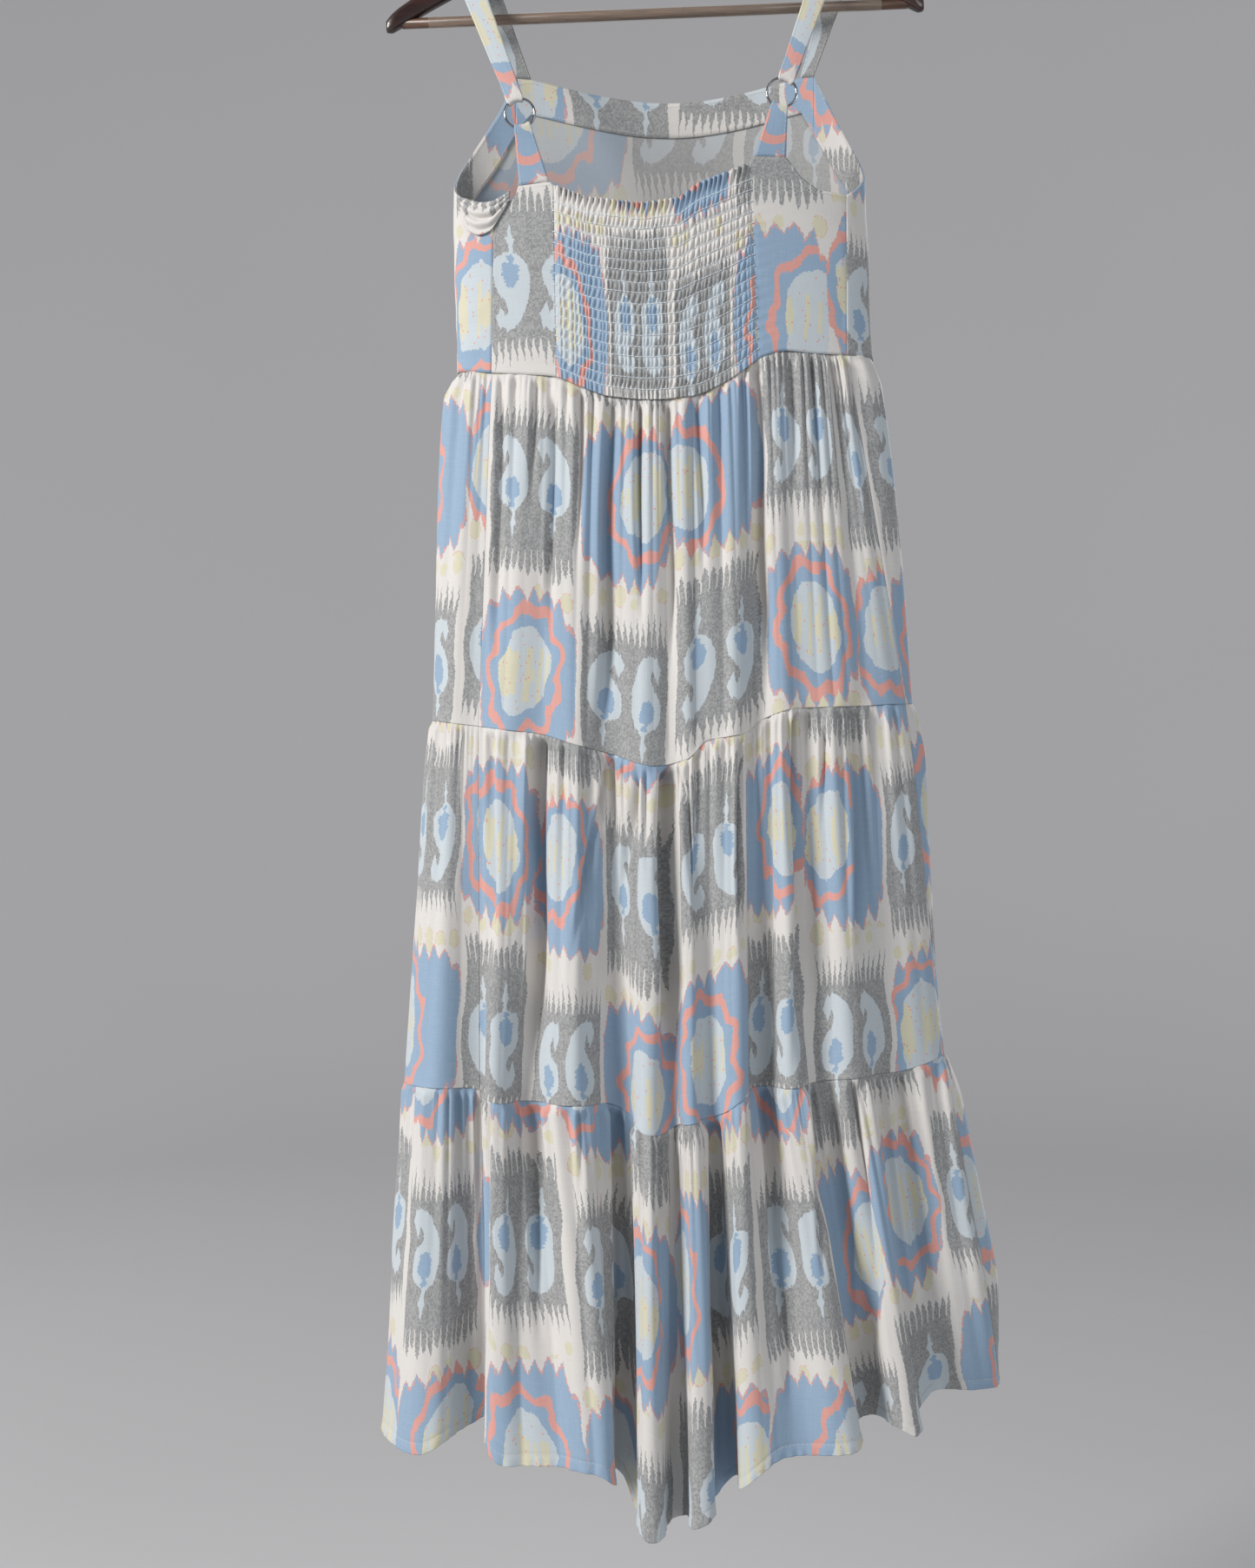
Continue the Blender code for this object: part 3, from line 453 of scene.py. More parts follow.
def faces_out(points, facing):
    """The outward direction of every point of a grid, from the grid itself."""
    out = np.cross(np.gradient(points, axis=1), np.gradient(points, axis=0))
    out /= np.linalg.norm(out, axis=-1, keepdims=True) + 1e-12
    return out * np.where((out * facing).sum(-1, keepdims=True) < 0, -1, 1)


# The size that each piece was cut to: its width, its length, and its area where it isn't a rectangle
CUTS = {}


def linked(name, data):
    thing = bpy.data.objects.new(name, data)
    bpy.context.scene.collection.objects.link(thing)
    return thing


def flat(u, v):
    """Places on the flat cloth, u across it and v down it."""
    return np.stack(np.broadcast_arrays(u, v), -1)


def cloth_shell(name, outer, facing, uv, thickness=CLOTH):
    """A thin shell of cloth under a grid of points: its right side, its wrong side and its rim."""
    rows, columns = outer.shape[:2]
    inner = outer - faces_out(outer, facing) * thickness
    count = rows * columns
    number = np.arange(count).reshape(rows, columns)
    corners = number[:-1, :-1], number[:-1, 1:], number[1:, 1:], number[1:, :-1]
    quads = np.stack(corners, -1).reshape(-1, 4)
    rim = np.concatenate([number[0], number[1:, -1], number[-1, -2::-1], number[-2:0:-1, 0]])
    ahead = np.roll(rim, -1)
    edge = np.stack([rim, ahead, ahead + count, rim + count], -1)
    way = facing[0, 0] @ np.cross(outer[0, 1] - outer[0, 0], outer[1, 0] - outer[0, 0])
    if way < 0:
        faces = np.concatenate([quads[:, ::-1], quads + count, edge])
    else:
        faces = np.concatenate([quads, quads[:, ::-1] + count, edge[:, ::-1]])
    mesh = bpy.data.meshes.new(name)
    points = np.concatenate([outer.reshape(-1, 3), inner.reshape(-1, 3)])
    mesh.from_pydata(points.tolist(), [], faces.tolist())
    layer = mesh.uv_layers.new(name="cloth")
    places = np.concatenate([uv.reshape(-1, 2), uv.reshape(-1, 2)])
    layer.data.foreach_set("uv", places[faces.reshape(-1)].astype(np.float32).reshape(-1))
    side = np.zeros(len(faces), int)
    side[len(quads) : 2 * len(quads)] = 1
    mesh.polygons.foreach_set("material_index", side)
    mesh.polygons.foreach_set("use_smooth", np.ones(len(faces), bool))
    mesh.update()
    across, down = (np.linalg.norm(np.diff(outer, axis=i), axis=-1) for i in (1, 0))
    area = sum(face.area for face in mesh.polygons[: len(quads)])
    CUTS[name] = across.sum(1).max(), down.sum(0).max(), area
    return linked(name, mesh)


def rumpled(u, v, seed):
    """The soft unevenness of cloth that hangs, from -1 to 1."""
    slow = wander(u + 0.35 * v, 0.019, seed) * wander(v, 0.045, seed + 1)
    return 0.6 * slow + 0.4 * wander(v + 0.25 * u, 0.013, seed + 2)


# Tucks in gathered cloth: how far apart, how high, how far down they reach, and their own random draws
TUCKS = [(0.0075, 0.0019, 0.034, 1), (0.016, 0.0028, 0.110, 2), (0.036, 0.0044, 0.240, 3)]


def gathers(u, v, seed):
    """How far gathered cloth stands out below its seam: fine tucks that run together into wider ones."""
    rise = np.zeros(np.broadcast(u, v).shape)
    for pitch, height, reach, own in TUCKS:
        place = u / pitch + 0.55 * wander(u, pitch * 2.7, seed + own)
        wave = 2 * np.abs(np.sin(math.pi * place)) - 1.2
        size = 0.65 + 0.35 * wander(u, pitch * 3.1, seed + own + 10)
        fade = reach * (1 + 0.5 * wander(u, pitch * 1.3, seed + own + 20))
        rise += height * size * wave * np.exp(-v / fade)
    return rise * (0.15 + 0.85 * soft_step(v / 0.008))


# Sharp creases on the back of each tier: x at its top and at its foot, where they start and end down it,
# and how deep and how wide they lie
CREASES = [
    [
        (-0.128, -0.131, 0, 0.9, 0.004, 0.004),
        (-0.099, -0.101, 0, 0.45, 0.004, 0.003),
        (-0.084, -0.086, 0.05, 0.8, 0.004, 0.003),
        (-0.062, -0.064, 0, 0.55, 0.004, 0.003),
        (-0.036, -0.042, 0, 1, 0.007, 0.005),
        (-0.013, -0.012, 0, 0.7, 0.005, 0.003),
        (0.011, 0.014, 0, 0.8, 0.005, 0.003),
        (0.036, 0.040, 0, 0.6, 0.004, 0.003),
        (0.083, 0.088, 0, 1, 0.008, 0.005),
        (0.110, 0.128, 0, 0.5, 0.004, 0.004),
    ],
    [
        (-0.134, -0.137, 0, 0.8, 0.005, 0.004),
        (-0.095, -0.100, 0, 1, 0.009, 0.006),
        (-0.040, -0.084, 0.02, 0.65, 0.004, 0.0025),
        (-0.014, -0.044, 0, 0.5, 0.004, 0.0025),
        (-0.007, -0.010, 0, 0.35, 0.005, 0.003),
        (0.008, 0.010, 0, 0.9, 0.010, 0.006),
        (0.020, 0.048, 0.05, 0.6, 0.004, 0.0025),
        (0.068, 0.070, 0, 0.7, 0.005, 0.003),
        (0.115, 0.118, 0, 1, 0.009, 0.006),
        (0.163, 0.168, 0, 0.8, 0.006, 0.004),
        (0.140, 0.120, 0.05, 0.4, 0.003, 0.0025),
    ],
    [
        (-0.150, -0.156, 0, 0.8, 0.005, 0.004),
        (-0.104, -0.085, 0, 0.7, 0.005, 0.004),
        (-0.062, -0.058, 0, 0.4, 0.004, 0.003),
        (-0.030, -0.026, 0, 1, 0.007, 0.005),
        (0.004, 0.006, 0, 0.5, 0.005, 0.004),
        (0.044, 0.054, 0, 1, 0.007, 0.005),
        (0.086, 0.108, 0, 0.9, 0.006, 0.004),
        (0.124, 0.140, 0, 0.6, 0.004, 0.003),
        (0.160, 0.178, 0, 0.9, 0.006, 0.005),
        (0.196, 0.225, 0, 0.8, 0.006, 0.005),
    ],
]


def creased(x, shares, tier):
    """How far the creases draw the cloth in at x, from the bar's middle, and at shares of its height."""
    drawn = np.zeros(x.shape)
    for top, foot, start, end, depth, width in CREASES[tier]:
        middle = top + (foot - top) * shares + 0.0012 * np.sin(shares * 9 + top * 300)
        away = (x - middle) / width
        lip = 0.35 * np.exp(-((away + 1.5) ** 2)) - np.exp(-np.abs(away) ** 1.4)
        ends = soft_step((shares - start) / 0.05 + 0.3) * soft_step((end - shares) / 0.35)
        drawn += depth * lip * ends
    return drawn


# Where the hem is turned up and sewn
HEM = 0.0085
# How far each tier's gathered edge reaches up behind the cloth above it
TUCKED = 0.0015
# How far inside its edges a piece lies as it was sewn, for whole sides and for narrow panels
SIDE_FADE = 0.012
PANEL_FADE = 0.004
# How far along the print each tier starts after the one above, and the facings after the bodice
TIER_PRINT = (0.31, 0.137)
FACING_PRINT = (0.137, 0.211)


def edge_fade(along, width):
    """0 at both edges of a piece and 1 inside them, at places along its rows."""
    return soft_step(np.minimum(along - along[..., :1], along[..., -1:] - along) / width)


def make_tiers(lines):
    made = []
    shares = 0.955 * np.linspace(0, 1, TIER_LINES) ** 1.35
    hem = HEM / TIER_CUT[2]
    near_seam = [0.965, 1 - hem - 0.002, 1 - hem, 1 - hem + 0.002]
    shares = np.concatenate([shares, near_seam, [0.985, 0.993, 0.997, 1]])
    for tier in range(3):
        for side, folds in (("back", BACK_FOLDS), ("front", FRONT_FOLDS)):
            rows = [folded_row(tier + share, folds) for share in shares]
            points, facing = (np.array([row[i] for row in rows]) for i in range(2))
            u = rows[-1][2] * FULLNESS
            v = shares[:, None] * TIER_CUT[tier]
            left = (1 - shares[:, None]) * TIER_CUT[tier]
            seed = 40 * tier + (100 if side == "front" else 0)
            ends = edge_fade(u, SIDE_FADE)
            rise = gathers(u[None, :], v, seed) * ends - 0.0009 * np.exp(-v / 0.0008)
            if side == "back":
                below = ends * (0.05 + 0.95 * soft_step(v / 0.010))
                rise += 1.5 * creased(points[..., 0] - SWAY, shares[:, None], tier) * below
            points[0, :, 2] += TUCKED
            if tier < 2:
                rise += (GAP - rise) * np.exp(-left / 0.006)
            else:
                turned_up = left < HEM + 1e-6
                ripple = np.sin(2 * math.pi * u / 0.011 + 3 * wander(u, 0.02, seed + 5))
                rise += turned_up * (0.00035 + 0.0005 * ripple * (1 - left / HEM))
                rise -= 0.0004 * np.exp(-(((left - HEM) / 0.0008) ** 2))
            points = points + facing * rise[..., None]
            if tier == 2:
                sewn = int(np.argmin(np.abs(shares - 1 + hem)))
                lines[f"tier3_{side}"].append(points[sewn] + facing[sewn] * STITCH_LIFT)
            uv = flat(u + TIER_PRINT[0] * tier, v + TIER_PRINT[1] * tier)
            name = f"cloth_tier{tier + 1}_{side}"
            made.append(cloth_shell(name, points, facing, uv))
            CUTS[name] = u[-1], TIER_CUT[tier], None
    return made


def between(ends, share):
    return ends[0] + (ends[1] - ends[0]) * share


def back_panel(left, right, top, columns, rows):
    """A panel of the back, whose edges run from the top to the waist; rows run down from 0 to 1."""
    across = np.linspace(0, 1, columns + 1)[None, :]
    down = np.asarray(rows)[:, None]
    x = between(left, down) * (1 - across) + between(right, down) * across
    top_z = np.interp(x, *np.array(top).T)
    low_z = seam_height(0, turn_of(x, 0.0))
    points, outward = back_at(x, top_z + (low_z - top_z) * down)
    return points, outward, x


def make_bodice(lines):
    made = []
    rows = np.linspace(0, 1, 61)
    for name, left, right, top, columns, seed in (
        ("side_back_left", SEAM_LEFT, SMOCK_LEFT, SIDE_LEFT_TOP, 40, 61),
        ("side_back_right", SMOCK_RIGHT, SEAM_RIGHT, SIDE_RIGHT_TOP, 56, 67),
    ):
        points, outward, x = back_panel(left, right, top, columns, rows)
        z = points[..., 2]
        inner = x[:, -1:] - x if name.endswith("left") else x - x[:, :1]
        drawn = np.sin(2 * math.pi * z / ELASTIC_PITCH + 4 * wander(x, 0.03, 71))
        rise = 0.0011 * rumpled(x, z, seed) + 0.0006 * drawn * np.exp(-inner / 0.009)
        rise = rise * edge_fade(x, PANEL_FADE) * soft_step((1 - rows[:, None]) / 0.05)
        uv = flat(x + 0.05, -z)
        points = points + outward * rise[..., None]
        lines[name].append(points[1, 1:-1] + outward[1, 1:-1] * STITCH_LIFT)
        made.append(cloth_shell(f"cloth_{name}", points, outward, uv))
    return made


def make_smocked_back(lines):
    first = SMOCK_HEADER / SMOCK_HEIGHT
    rows = np.concatenate([np.linspace(0, first, 7)[:-1], np.linspace(first, 1, 145)])
    points, outward, x = back_panel(SMOCK_LEFT, SMOCK_RIGHT, SMOCK_TOP, SMOCK_COLUMNS, rows)
    v = rows[:, None] * SMOCK_HEIGHT
    u = (x - x[:, :1]) * SMOCK_FULLNESS
    band = np.clip((v - SMOCK_HEADER) / ELASTIC_PITCH, -1, ELASTIC_ROWS - 1)
    puff = np.abs(np.sin(math.pi * band)) ** 0.7
    number = np.floor(band)
    slant = (band - number) * (0.25 + 0.35 * wander(number + 0 * u, 1.0, 9))
    pucker = np.zeros(np.broadcast(u, v).shape)
    for pitch, size in ((0.0064, 0.75), (0.0105, 0.5)):
        drift = wander(u, pitch * 2.3, 7) * 0.5 + 0.25 * wander(number + 0 * u, 1.0, 8) + slant
        pucker += size * (2 * np.abs(np.sin(math.pi * (u / pitch + drift))) - 1)
    in_rows = (band > 0) & (band < ELASTIC_ROWS - 1)
    header = soft_step((SMOCK_HEADER - v) / SMOCK_HEADER)
    below = soft_step((v - SMOCK_HEADER - (ELASTIC_ROWS - 1) * ELASTIC_PITCH) / 0.004)
    flute = np.sin(2 * math.pi * (u / 0.0082 + 0.5 * wander(u, 0.02, 12) - 0.5 * header))
    rise = GAP + np.where(in_rows, puff * (0.0008 + 0.0010 * pucker), 0.0004 * pucker)
    rise = rise + header * (0.0012 + 0.0019 * flute) + below * 0.0006 * (1 + 0.8 * pucker)
    rise *= edge_fade(x, PANEL_FADE)
    uv = flat(u + 0.21, v + 0.29)
    points = points + outward * rise[..., None]
    for row in range(ELASTIC_ROWS):
        nearest = int(np.argmin(np.abs(rows - first - row * ELASTIC_PITCH / SMOCK_HEIGHT)))
        lines["back_smock_panel"].append(points[nearest] + outward[nearest] * ELASTIC_LIFT)
    panel = cloth_shell("cloth_back_smock_panel", points, outward, uv)
    CUTS[panel.name] = u.max(), SMOCK_HEIGHT, None
    return panel


# Columns of fine cloth to each strip of the front, and rows of it that lie over the facings
FINE_COLUMNS = 6
FACING_LINES = 11


def front_columns(edges):
    """The turn, height and facing depth of each strip's edge along part of the front's upper edge."""
    turns = [turn_of(row.x, -abs(row.z - SEAMS[0].left) / UNDERARM_RISE, row.face) for row in edges]
    counts = [row.columns * FINE_COLUMNS for row in edges]
    stops = [np.linspace(a, b, count + 1)[:-1] for a, b, count in zip(turns, turns[1:], counts)]
    stops = np.concatenate([*stops, turns[-1:]])
    tops, facings = [row.z for row in edges], [row.facing for row in edges]
    return stops, through(stops, turns, tops), np.interp(stops, turns, facings)


def seam_turn(seam, face, z):
    """The turn of a side seam, from its x at the top to its x at the waist, at heights that rise."""
    return turn_at(between(seam, (z[-1] - z) / (z[-1] - z[0])), z, face)


def front_grid():
    """The front bodice, whose last rows lie over the facings, and its neckline's first and last column."""
    corners = [RIGHT_ARMHOLE[-1], NECKLINE[0]], [NECKLINE[-1], LEFT_ARMHOLE[0]]
    parts = [RIGHT_ARMHOLE, corners[0], NECKLINE, corners[1], LEFT_ARMHOLE]
    lines = [front_columns(part) for part in parts]
    columns = [[line[i][:-1] for line in lines] + [lines[-1][i][-1:]] for i in range(3)]
    turn, top, facing = (np.concatenate(column) for column in columns)
    neck = len(lines[0][0]) - 1, len(turn) - len(lines[-1][0])
    low = seam_height(0, turn)
    band = top - facing
    heights = [low + (band - low) * share for share in np.linspace(0, 1, 33)]
    heights += [band + (top - band) * share for share in np.linspace(0, 1, FACING_LINES)[1:]]
    heights = np.array(heights)
    start = seam_turn(SEAM_RIGHT, "back", heights[:, 0])
    finish = seam_turn(SEAM_LEFT, "round", heights[:, -1])
    across = (turn - turn[0]) / (turn[-1] - turn[0])
    turns = start[:, None] + across * (finish - start)[:, None]
    heights[0] = seam_height(0, turns[0])
    points, outward = bodice_at(turns, heights)
    return points, outward, neck


# The end of the left armhole's facing is turned over to the outside: x, and its fold's and edge's heights
TURNED = [
    (-0.1630, -0.3140, -0.3220),
    (-0.1590, -0.3160, -0.3315),
    (-0.1523, -0.3190, -0.3450),
    (-0.1441, -0.3218, -0.3490),
    (-0.1365, -0.3220, -0.3470),
    (-0.1269, -0.3190, -0.3350),
    (-0.1194, -0.3150, -0.3225),
]


def turned_end():
    """The turned end of the facing, whose folds draw together at the tab."""
    places, folds, edges = np.array(TURNED).T
    x = np.linspace(places[0], places[-1], 61)
    share = np.linspace(0, 1, 33)[:, None]
    fold, edge = through(x, places, folds), through(x, places, edges)
    z = fold + (edge - fold) * share
    x = np.broadcast_to(x, z.shape)
    points, out = back_at(x, z)
    along = (x - places[0]) / (places[-1] - places[0])
    ridges = 0.5 + 0.5 * np.cos(2 * math.pi * (2.9 * share - 0.6 * along**2 + 0.1))
    lift = 0.0012 + 0.0042 * ridges * np.sin(math.pi * share) ** 0.6 * np.sin(math.pi * along) ** 0.6
    lift -= 0.0030 * np.exp(-share / 0.06)
    uv = flat(x - places[0] + 0.016, 0.153 - 0.75 * (z - folds.max()))
    return cloth_shell("turned_end", points + out * lift[..., None], -out, uv)


def join(first, second):
    """Adds the mesh of a second piece to a piece of the same cloth."""
    mesh = bmesh.new()
    mesh.from_mesh(first.data)
    mesh.from_mesh(second.data)
    mesh.to_mesh(first.data)
    mesh.free()
    width, length, area = CUTS[first.name]
    CUTS[first.name] = width, length, area + CUTS.pop(second.name)[2]
    bpy.data.objects.remove(second)


def make_front(lines):
    points, outward, neck = front_grid()
    u = summed(np.linalg.norm(np.diff(points[20], axis=0), axis=-1))
    uv = flat(u + 0.4, -points[..., 2])
    rise = 0.0009 * rumpled(uv[..., 0], uv[..., 1], 81) * edge_fade(u, SIDE_FADE)
    rise *= soft_step((points[..., 2] - points[:1, :, 2]) / SIDE_FADE)
    points = points + outward * rise[..., None]
    made = [cloth_shell("cloth_front_bodice", points, outward, uv)]
    for name, first, last in (
        ("armhole_facing_right", 0, neck[0]),
        ("front_neck_facing", neck[0], neck[1]),
        ("armhole_facing_left", neck[1], points.shape[1] - 1),
    ):
        part = slice(-FACING_LINES, None), slice(first, last + 1)
        lain = points[part] - outward[part] * (CLOTH + GAP)
        for row in (1, -2):
            lines[name].append(lain[row, 1:-1] - outward[part][row, 1:-1] * (CLOTH + STITCH_LIFT))
        made.append(cloth_shell(f"cloth_{name}", lain, outward[part], uv[part] + FACING_PRINT))
    join(made[-1], turned_end())
    return made


# Straps, tabs and rings

RIBBON_LINES = np.linspace(-1, 1, 13)


def smooth_path(rows, per_step):
    """A grid of points with more rows between, on a smooth curve through the given ones."""
    rows = np.array(rows)
    way = summed(np.linalg.norm(np.diff(rows.mean(1), axis=0), axis=-1) ** 0.5)
    slope = np.gradient(rows, way, axis=0)
    finer = []
    for i, span in enumerate(np.diff(way)):
        for t in np.arange(per_step) / per_step:
            finer.append(cubic(t, span, rows[i], slope[i], rows[i + 1], slope[i + 1]))
    return np.array([*finer, rows[-1]])


def widened(rows):
    """Rows of four points across a ribbon, as rows of thirteen."""
    return [np.stack([np.interp(RIBBON_LINES, ACROSS, row[:, i]) for i in range(3)], -1) for row in rows]


def ribbon(name, rows, thickness, seed, lines):
    """A strap, with a line of stitches near both of its edges on both of its sides."""
    grid = smooth_path(widened(rows), 6)
    out = np.cross(np.gradient(grid, axis=0), np.gradient(grid, axis=1))
    out /= np.linalg.norm(out, axis=-1, keepdims=True)
    v = summed(np.linalg.norm(np.diff(grid.mean(1), axis=0), axis=-1))
    u = summed(np.linalg.norm(np.diff(grid[len(grid) // 2], axis=0), axis=-1))
    for column in (1, -2):
        for side in (1, -1):
            lift = side * (thickness / 2 + STITCH_LIFT)
            lines[name.removeprefix("cloth_")].append(grid[:, column] + out[:, column] * lift)
    uv = flat(u + 0.011 * seed, v[:, None] + 0.05 * seed)
    return cloth_shell(name, grid + out * thickness / 2, out, uv, thickness)


def ring_loop(centre, outward, across):
    """The rows of a ribbon round the ring's wire, from behind it through the ring to its near side."""
    reach = RING_WIRE + GAP + WEBBING / 2 + 0.0001
    angles = LOOP_HALF_ANGLE * ACROSS
    spokes = np.outer(np.cos(angles), outward) + np.outer(np.sin(angles), across)
    away = np.array([0, 1, 0])
    rows = []
    for turn in np.linspace(math.pi, 0, 6):
        inside = RING_RADIUS - reach * math.sin(turn)
        rows.append(centre + spokes * inside - away * reach * math.cos(turn))
    return rows


def lapped_end(loop, target, width, lap):
    """The short end behind a ribbon, from near its line to the target up to the loop."""
    start = loop[-1].mean(0)
    way = (target - start) / np.linalg.norm(target - start)
    behind = np.array([0, WEBBING + 2 * GAP, 0])
    tip = start + way * lap + np.outer(ACROSS, width) + behind
    return [tip, (loop[0] + tip) / 2]


def looped_to(hang, target, lap):
    """The rows of a ribbon's lapped end and of its loop through the ring, where it runs to the target."""
    centre = np.array([hang.ring_x + SWAY, RING_Y, hang.ring_z])
    x, _, z = target - centre
    lean = np.array([x, 0, z]) / math.hypot(x, z)
    across = np.array([lean[2], 0, -lean[0]])
    loop = ring_loop(centre, lean, across)
    return lapped_end(loop, target, across * STRAP_WIDTH / 2 * 0.8, lap) + loop


def blended(first, last, shares):
    return [first * (1 - t) + last * t for t in shares]


def over_arm(hang):
    """The rows of a strap over its hanger arm, from the back to the front."""
    reach = ARM_THICKNESS / 2 + WEBBING / 2 + 0.0008
    rows = []
    for share in np.linspace(0, 1, 7):
        angle = math.radians(190) - math.radians(200) * share
        x = between((hang.arm_back, hang.arm_front), share)
        sides = [x + w * STRAP_WIDTH / 2 * 0.9 for w in ACROSS]
        lift = reach * math.sin(angle) - ARM_THICKNESS / 2
        row = [tilted((side, reach * math.cos(angle), arm_top(side) + lift)) for side in sides]
        rows.append(np.array(row))
    return rows


def make_straps(lines):
    made = []
    for hang in HANGS:
        wrap = over_arm(hang)
        rows = looped_to(hang, wrap[0].mean(0), STRAP_LAP)
        rows += blended(rows[-1], wrap[0], (0.12, 0.35, 0.6, 0.85)) + wrap
        x = np.linspace(hang.sewn_left, hang.sewn_right, len(ACROSS))
        sewn, outward = bodice_at(turn_of(x, -1.7, "front"), np.full(len(ACROSS), hang.sewn_z))
        rows += blended(wrap[-1], sewn - outward * CLOTH / 2, (0.25, 0.5, 0.75, 1))
        made.append(ribbon(f"cloth_strap_{hang.side}", rows, WEBBING, 3, lines))
        made.append(make_tab(hang, lines))
    return made


def make_tab(hang, lines):
    top = SIDE_LEFT_TOP if hang.side == "left" else SIDE_RIGHT_TOP
    x = np.linspace(hang.tab_right, hang.tab_left, len(ACROSS))
    sewn, outward = back_at(x, np.interp(x, *np.array(top).T))
    sewn = sewn - outward * CLOTH / 2
    rows = looped_to(hang, sewn.mean(0), TAB_LAP)
    rows += blended(rows[-1], sewn, (0.25, 0.6, 1))
    return ribbon(f"cloth_ring_tab_{hang.side}", rows, WEBBING * 0.8, 5, lines)


# Materials


class Wire:
    """A socket of a node, on which Python's own signs do the sums."""

    def __init__(self, board, socket):
        self.board, self.socket = board, socket

    def sums(self, operation, *others):
        values = dict(enumerate([self, *others]))
        return self.board.node("ShaderNodeMath", {"operation": operation}, values)

    def other(self, index):
        """Another output of the node that this wire leaves."""
        return Wire(self.board, self.socket.node.outputs[index])

    def __rsub__(self, value):
        return self.board.node("ShaderNodeMath", {"operation": "SUBTRACT"}, {0: value, 1: self})

    def __abs__(self):
        return self.sums("ABSOLUTE")

    def floor(self):
        return self.sums("FLOOR")

    def part(self):
        """What is left of a number above its whole part."""
        return self.sums("FRACT")


# What each sign asks a math node for. The sign for "or" gives the larger of two masks.
for sign, operation in (
    ("add", "ADD"),
    ("radd", "ADD"),
    ("sub", "SUBTRACT"),
    ("mul", "MULTIPLY"),
    ("rmul", "MULTIPLY"),
    ("truediv", "DIVIDE"),
    ("pow", "POWER"),
    ("lt", "LESS_THAN"),
    ("gt", "GREATER_THAN"),
    ("or", "MAXIMUM"),
):
    setattr(Wire, f"__{sign}__", lambda self, value, operation=operation: self.sums(operation, value))


class Nodes:
    """The nodes of one tree."""

    def __init__(self, tree):
        self.tree = tree

    def node(self, kind, settings=None, inputs=None, output=0):
        """Adds a node: its settings first, then the values or links of its sockets."""
        made = self.tree.nodes.new(kind)
        for key, value in (settings or {}).items():
            if key == "stops":
                ramp = made.color_ramp
                while len(ramp.elements) < len(value):
                    ramp.elements.new(0.5)
                for stop, (place, colour) in zip(ramp.elements, value):
                    stop.position, stop.color = place, (*colour, 1)
            elif key == "line":
                curve = made.mapping.curves[0]
                while len(curve.points) < len(value):
                    curve.points.new(0.5, 0.5)
                for point, place in zip(curve.points, value):
                    point.location, point.handle_type = place, "AUTO_CLAMPED"
                made.mapping.update()
            else:
                setattr(made, key, value)
        for key, value in (inputs or {}).items():
            if isinstance(value, Wire):
                self.tree.links.new(value.socket, made.inputs[key])
            else:
                made.inputs[key].default_value = value
        return Wire(self, made.outputs[output])

    def vector(self, x, y, z=0.0):
        return self.node("ShaderNodeCombineXYZ", {}, {0: x, 1: y, 2: z})


class Board(Nodes):
    """The nodes of one material."""

    def __init__(self, name, **finish):
        self.material = bpy.data.materials.new(name)
        self.material.use_nodes = True
        super().__init__(self.material.node_tree)
        self.shader = self.tree.nodes["Principled BSDF"]
        for socket, value in finish.items():
            self.shader.inputs[socket.replace("_", " ")].default_value = value

    def mix(self, share, first, second):
        """A colour between two colours, which are wires or three numbers."""
        ends = [value if isinstance(value, Wire) else (*value, 1) for value in (first, second)]
        return self.node("ShaderNodeMix", {"data_type": "RGBA"}, {0: share, 6: ends[0], 7: ends[1]}, 2)

    def random(self, *seeds):
        """A random value from 0 to 1 for each set of whole numbers."""
        if len(seeds) == 1:
            return self.node("ShaderNodeTexWhiteNoise", {"noise_dimensions": "1D"}, {"W": seeds[0]})
        return self.node("ShaderNodeTexWhiteNoise", {"noise_dimensions": "2D"}, {0: self.vector(*seeds)})

    def place(self, stretch=None):
        """The place on the object itself, or that place stretched along each axis."""
        place = self.node("ShaderNodeTexCoord", {}, {}, 3)
        if stretch:
            return self.node("ShaderNodeMapping", {}, {0: place, "Scale": stretch})
        return place

    def noise(self, place, scale, detail=2.0, rough=0.5):
        sizes = {0: place, "Scale": scale, "Detail": detail, "Roughness": rough}
        return self.node("ShaderNodeTexNoise", {"noise_dimensions": "3D"}, sizes)

    def line(self, share, points):
        """A value on a drawn curve through points from 0 to 1."""
        return self.node("ShaderNodeFloatCurve", {"line": points}, {1: share})

    def ramp(self, share, stops):
        """A colour on a scale of colours."""
        return self.node("ShaderNodeValToRGB", {"stops": stops}, {0: share})

    def bump(self, height, distance, strength=1.0):
        sizes = {"Height": height, "Distance": distance, "Strength": strength}
        return self.node("ShaderNodeBump", {}, sizes)

    def feed(self, **sockets):
        for name, wire in sockets.items():
            self.tree.links.new(wire.socket, self.shader.inputs[name.replace("_", " ")])
        return self.material


def rgb(*screen):
    """A colour from the numbers of a screen, 0 to 255."""
    return tuple(((c / 255 + 0.055) / 1.055) ** 2.4 if c > 10 else c / 3294 for c in screen)


# The print, in millimetres of cloth: columns in a half drop, each with a grey block of two teardrops, bands
# of cream, and a blue rosette
# The repeat's width and height
COLUMN = 96
REPEAT = 320
# The grey block, and how far apart its teeth and its teardrops are
BLOCK_TOP = 44
BLOCK_FOOT = 146
BLOCK_HALF = 43
COMB = 6.6
DROP_STRIP = 41
# The rosette, and how far apart its jags and the olive blobs are
ROSETTE_AT = 250
ROSETTE_HALF = (50, 72)
SAW = 14.5
DOT = 15.5
# The steps that single threads give the print's edges
WARP = 1.25
WEFT = 1.5

